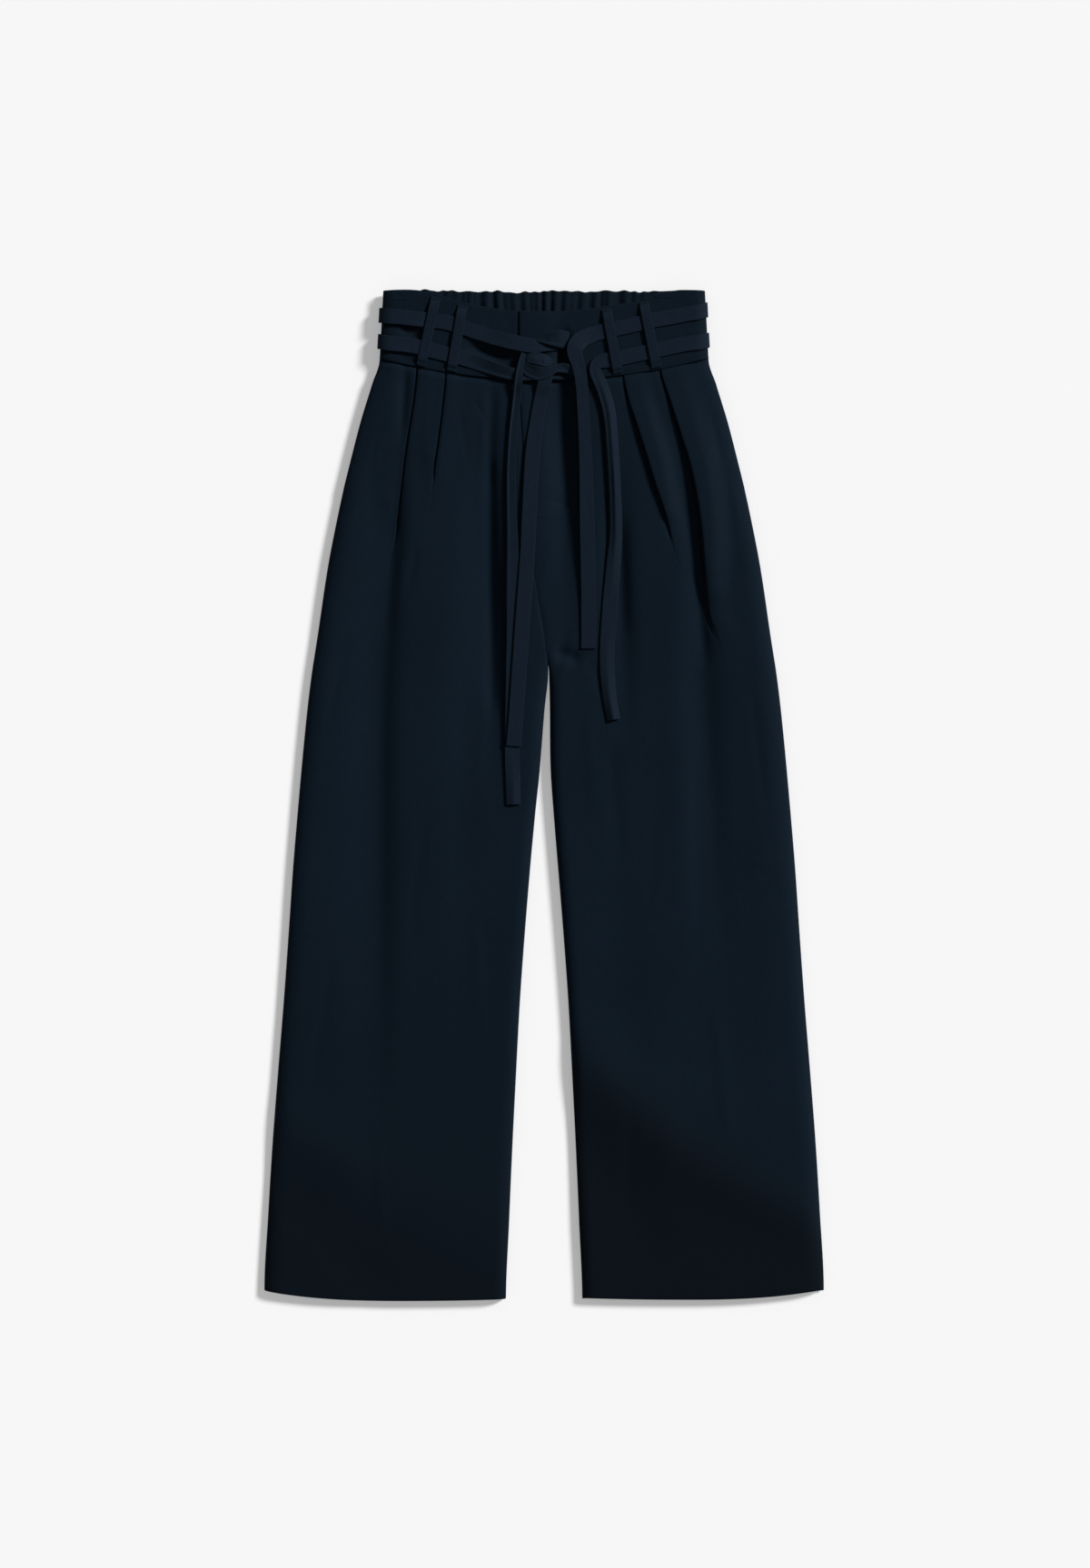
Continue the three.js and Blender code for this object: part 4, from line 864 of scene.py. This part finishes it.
# %% [markdown]
# ## Pocket facings
# A side-seam pocket is only an opening left in the seam. Its edge gapes a little, and a strip of the facing
# shows inside it. The pocket bag is hidden and isn't made.

# %% Lay the pocket facings
def pocket_facing(side):
    rows = []
    for y in np.linspace(422, 309, 60):
        edge = outline("half", y) - 0.5
        seam, front = loft("seam", y), leg_height(side * edge, y)
        share = np.linspace(-0.26, 0.4, 12)
        angle = math.pi / 2 * np.abs(share)
        radius = np.where(share < 0, back_curl, outer_curl)
        far = np.where(share < 0, loft("back", y), front)
        x = edge - 1.9 - radius * (1 - np.cos(angle))
        z = between(seam, far, np.sin(angle) * 0.8)
        rows.append(xyz(side * x, y, z))
    return np.array(rows)


for name, side in both_sides:
    facing = lay_cloth("pocket_facing_" + name, pocket_facing(side))
    declare(facing, "pocket_" + name, "pocket_cloth", 0.0011)

# %% [markdown]
# ## Stitching
# The seams are hidden, but three rows of thread show: the J that holds the fly down, the ends of the
# elastic's casing, and the tacks that hold each loop. A stitch is a tiny rounded bar that sinks at both ends.
# One is modelled, and the rest are copies laid along a line on the cloth. A dark line painted there would
# not catch light.

# %% Sew along a line
def sew(name, slot, lines, height, pitch=3):
    """Copies of one stitch along lines of points, each lying on the height that is given for its place."""
    bpy.ops.mesh.primitive_cylinder_add(vertices=6, radius=0.26 * MM, depth=2.2 * MM, rotation=(0, math.pi / 2, 0))
    stitch, copies = bpy.context.object, []
    bpy.ops.object.transform_apply()
    finish_with(stitch, "BEVEL", width=0.16 * MM, segments=1, limit_method="ANGLE", angle_limit=math.radians(70))
    for line in map(np.array, lines):
        travelled = travel(line)
        count = max(1, int(travelled[-1] / pitch))
        for k in range(count):
            at = (k + 0.5) * travelled[-1] / count
            before, here, after = (np.array([np.interp(at + s, travelled, line[:, i]) for i in (0, 1)])
                                   for s in (-0.8, 0, 0.8))
            step = after - before
            rise = height(*after) - height(*before)
            copy = bpy.data.objects.new(name, stitch.data.copy())
            bpy.context.collection.objects.link(copy)
            copy.location = (here[0] * MM, here[1] * MM, height(*here) * MM)
            slope = -math.atan2(rise, np.linalg.norm(step))
            copy.rotation_euler = (0, slope, math.atan2(step[1], step[0]))
            copies.append(copy)
    sewn = join(copies)
    bpy.ops.object.transform_apply()
    bpy.ops.object.shade_smooth_by_angle(angle=crisp)
    sewn.name = sewn.data.name = name
    bpy.data.objects.remove(stitch)
    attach(sewn, "root")
    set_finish(sewn, slot)
    print(name, len(copies), "stitches")


def leg_top(x, y):
    return leg_height(x, y) + crease_height(leg_creases, x, y) + cloth / 2 - seam_sink(x, y) + 0.1


def band_top(x, y):
    return band_height + (lap_height(x) if x > lap_end else 0) + band_cloth / 2 + 0.1


fly_line = [(31.5, 414), (32.5, 380), (33.5, 340), (34, 305)]
fly_line += [(34 - 15 * math.sin(a), 281 + 24 * math.cos(a) ** 1.5) for a in np.linspace(0.1, 1.5, 12)]
fly_line += [(14, 281), (2, 281), (-11, 281.4)]
sew("fly_stitching", "trouser_cloth", [fly_line], leg_top)
casing_lines = [
    [(96, 499.2), (106, 503), (116, 506), (124, 507.6)],
    [(111, 503.8), (126, 502.6), (142, 501.4), (156, 500.6)],
    [(-156, 500.6), (-142, 501.2), (-127, 502.2), (-116, 503)],
]
sew("casing_stitching", "waistband_cloth", casing_lines, band_top)


# %% Tack the loops
def loop_face(x, y):
    return carrier(x, y) + strap_lift + loop_cloth / 2 + 0.07


tack_lines = []
for top_x, top_y, end_x, end_y, _, _ in front_loops.values():
    for x, y in ((top_x, top_y - 1.6), (end_x, end_y + 1.8)):
        tack_lines.append([(x - 4.2, y), (x + 4.2, y)])
sew("loop_tacks", "loop_cloth", tack_lines, loop_face, pitch=1.7)

# %% [markdown]
# ## The cloth's finish
# The cloth is a dark navy with a fine plain weave and hardly any shine: its fibres scatter light, and it is
# a little paler where it is seen at a slant. A material can be built by linking nodes by hand. Here a small
# class lets Python's own signs add the Math nodes, so that the finish reads like a sum.

# %% Sums on a material's numbers
def sign(operation, swapped=False):
    """What one of Python's signs does to an amount: it adds the Math node for it."""
    def added(self, other):
        terms = (other, self) if swapped else (self, other)
        return self.finish.add("ShaderNodeMath", {"operation": operation}, dict(enumerate(terms)))
    return added


class Amount:
    """A number that a material works out at each point."""

    def __init__(self, finish, socket):
        self.finish, self.socket = finish, socket

    __add__ = __radd__ = sign("ADD")
    __mul__, __sub__, __rsub__ = sign("MULTIPLY"), sign("SUBTRACT"), sign("SUBTRACT", swapped=True)

    def wave(self):
        return self.finish.add("ShaderNodeMath", {"operation": "SINE"}, {0: self})


class Finish:
    """A material with one shader, and one way to add any other node."""

    def __init__(self, name):
        self.material = bpy.data.materials.new(name)
        self.material.use_nodes = True
        self.tree = self.material.node_tree
        self.shader = self.tree.nodes["Principled BSDF"]

    def add(self, kind, settings=None, values=None, outlet=0):
        node = self.tree.nodes.new(kind)
        for setting, value in (settings or {}).items():
            setattr(node, setting, value)
        self.fill(node, values or {})
        return Amount(self, node.outputs[outlet])

    def parts(self, vector):
        node = self.add("ShaderNodeSeparateXYZ", {}, {0: vector}).socket.node
        return [Amount(self, part) for part in node.outputs]

    def blend(self, share, first, second):
        return self.add("ShaderNodeMix", {"data_type": "RGBA", "clamp_factor": True},
                        {0: share, 6: first, 7: second}, outlet=2)

    def fill(self, node, values):
        for inlet, value in values.items():
            if isinstance(value, Amount):
                self.tree.links.new(value.socket, node.inputs[inlet])
            else:
                node.inputs[inlet].default_value = value


# %% [markdown]
# ## Weave, slubs and shade
# Three things vary over the cloth. Threads cross every half millimetre and raise a fine checkered relief.
# Some threads are thicker, which gives short faint streaks along both directions. And pressing and handling leave
# broad, very faint changes of shade. The pattern is read from the UV map, in metres along the cloth, so it turns
# with every fold. Low on each leg, below a slanting line, shade is painted into the colour: the cloth is made
# darker there to stand in for the soft shadow that lies over the lower legs. That could be painted by hand, but
# here it is a smooth step. Sheen, specular level and the like are the same all over, so they are set on the shader
# itself.

# %% Make the cloth's finishes
def painted_leg_shade(finish, place):
    """How much painted shade lies on the cloth: a darker colour below a slanting line low on each leg, standing in
    for shadow.
    """
    # Painted shade: this mask darkens the colour below a slanting line low on each leg, where shadow falls.
    x, y, _ = finish.parts(place)

    def below(height, start, end, strength):
        return finish.add("ShaderNodeMapRange", {"interpolation_type": "SMOOTHSTEP"},
                          {0: height, 1: start, 2: end, 4: strength})

    right = below((x - 0.043) * 0.66 + (y + 0.27), 0.05, -0.05, 0.85)
    left = below((x + 0.28) * 0.42 + (y + 0.335), 0.06, -0.09, 0.45) + below(y, -0.05, -0.42, 0.3)
    is_right = below(x, -0.01, 0.01, 1)
    return right * is_right + left * (1 - is_right)


def cloth_finish(name, dark, pale, painted_shade_colour, thread=0.00048, relief=0.00006):
    finish = Finish(name)
    along = finish.add("ShaderNodeTexCoord", outlet=2)
    warp, weft, _ = [(part * (math.pi / thread)).wave() for part in finish.parts(along)]
    threads = warp * weft

    def noise(vector, scale, detail):
        return finish.add("ShaderNodeTexNoise", {}, {"Vector": vector, "Scale": scale, "Detail": detail})

    def streaks(wide, tall):
        return noise(finish.add("ShaderNodeMapping", {}, {"Vector": along, "Scale": (wide, tall, 1)}), 1, 2)

    slubs = streaks(90, 1500) + streaks(1500, 90) - 1
    place = finish.add("ShaderNodeTexCoord", outlet=3)
    broad, fibre = noise(place, 9, 3), noise(place, 420, 3)
    shade = 0.5 + slubs * 0.9 + (broad - 0.5) * 0.9 + (fibre - 0.5) * 0.8 + threads * 0.12
    colour = finish.blend(shade, (*dark, 1), (*pale, 1))
    # Painted shade: the colour is darkened below a slanting line low on each leg, where shadow falls.
    colour = finish.blend(painted_leg_shade(finish, place), colour, (*painted_shade_colour, 1))
    rough = 0.78 + (fibre - 0.5) * 0.12
    height = threads * 0.5 + slubs * 1.1 + (fibre - 0.5) * 1.2
    bump = finish.add("ShaderNodeBump", {}, {"Height": height, "Strength": 0.7, "Distance": relief})
    finish.fill(finish.shader, {
        "Base Color": colour, "Roughness": rough, "Normal": bump, "Specular IOR Level": 0.03,
        "Sheen Weight": 0.02, "Sheen Roughness": 0.45, "Sheen Tint": (0.62, 0.76, 1, 1),
    })
    return finish.material


# The darker colours that paint shade low on the legs, one for the trouser cloth and one for the straps and loops.
leg_painted_shade, strap_painted_shade = (0.0022, 0.0037, 0.006), (0.003, 0.006, 0.01)
shades = {
    "trouser_cloth": ("navy trouser cloth", (0.0023, 0.006, 0.011), (0.0037, 0.0085, 0.015), leg_painted_shade),
    "waistband_cloth": ("navy waistband cloth", (0.0021, 0.0054, 0.0098), (0.0034, 0.0077, 0.0133), leg_painted_shade),
    "belt_cloth": ("navy strap cloth", (0.004, 0.0084, 0.015), (0.0062, 0.0116, 0.0196), strap_painted_shade),
    "loop_cloth": ("navy loop cloth", (0.0036, 0.0078, 0.014), (0.0056, 0.0108, 0.0184), strap_painted_shade),
    "pocket_cloth": ("navy facing cloth", (0.0024, 0.0056, 0.0104), (0.0038, 0.008, 0.014), leg_painted_shade),
}
finishes = {slot: cloth_finish(*shade) for slot, shade in shades.items()}
for piece in bpy.context.scene.objects:
    if piece.type == "MESH" and "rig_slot" in piece and piece.name not in frame["nodes"]:
        piece.data.materials.clear()
        piece.data.materials.append(finishes[piece["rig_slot"]])
print("finishes:", ", ".join(finishes))

# %% [markdown]
# ## Table, light and camera
# A pale table, a wide soft light low on the upper right and a pale sky all round throw shadows to the lower
# left of each strap without hard edges. The camera looks straight down from four metres, far enough that the
# edges of the garment aren't seen at a slant.

# %% Set the table, the light and the camera
bpy.ops.mesh.primitive_plane_add(size=12, location=(0, 0, 0))
table = bpy.context.object
table.name = "table"
pale = Finish("pale lit table")
pale.fill(pale.shader, {"Base Color": (0.53, 0.53, 0.53, 1), "Roughness": 0.9, "Specular IOR Level": 0.1,
                        "Emission Color": (1, 1, 1, 1), "Emission Strength": 0.32})
table.data.materials.append(pale.material)

scene = bpy.context.scene
scene.world = scene.world or bpy.data.worlds.new("studio")
scene.world.use_nodes = True
sky = scene.world.node_tree.nodes["Background"].inputs
sky["Color"].default_value, sky["Strength"].default_value = (1, 1, 1, 1), 0.24
scene.view_settings.view_transform = "Standard"

bpy.ops.object.light_add(type="SUN", rotation=(0, math.radians(58), math.radians(32)))
key = bpy.context.object
key.name = "window light"
key.data.energy, key.data.angle = 5.4, math.radians(12)

distance, sensor, seen_height = 4, 36, 1.5888
bpy.ops.object.camera_add(location=(0.00092, 0.0115, distance + 0.005), rotation=(0, 0, 0))
camera = bpy.context.object
camera.data.sensor_width = sensor
camera.data.lens = sensor * distance / seen_height
scene.camera = camera
print("key light strength:", key.data.energy, "lens:", round(camera.data.lens, 1), "mm")
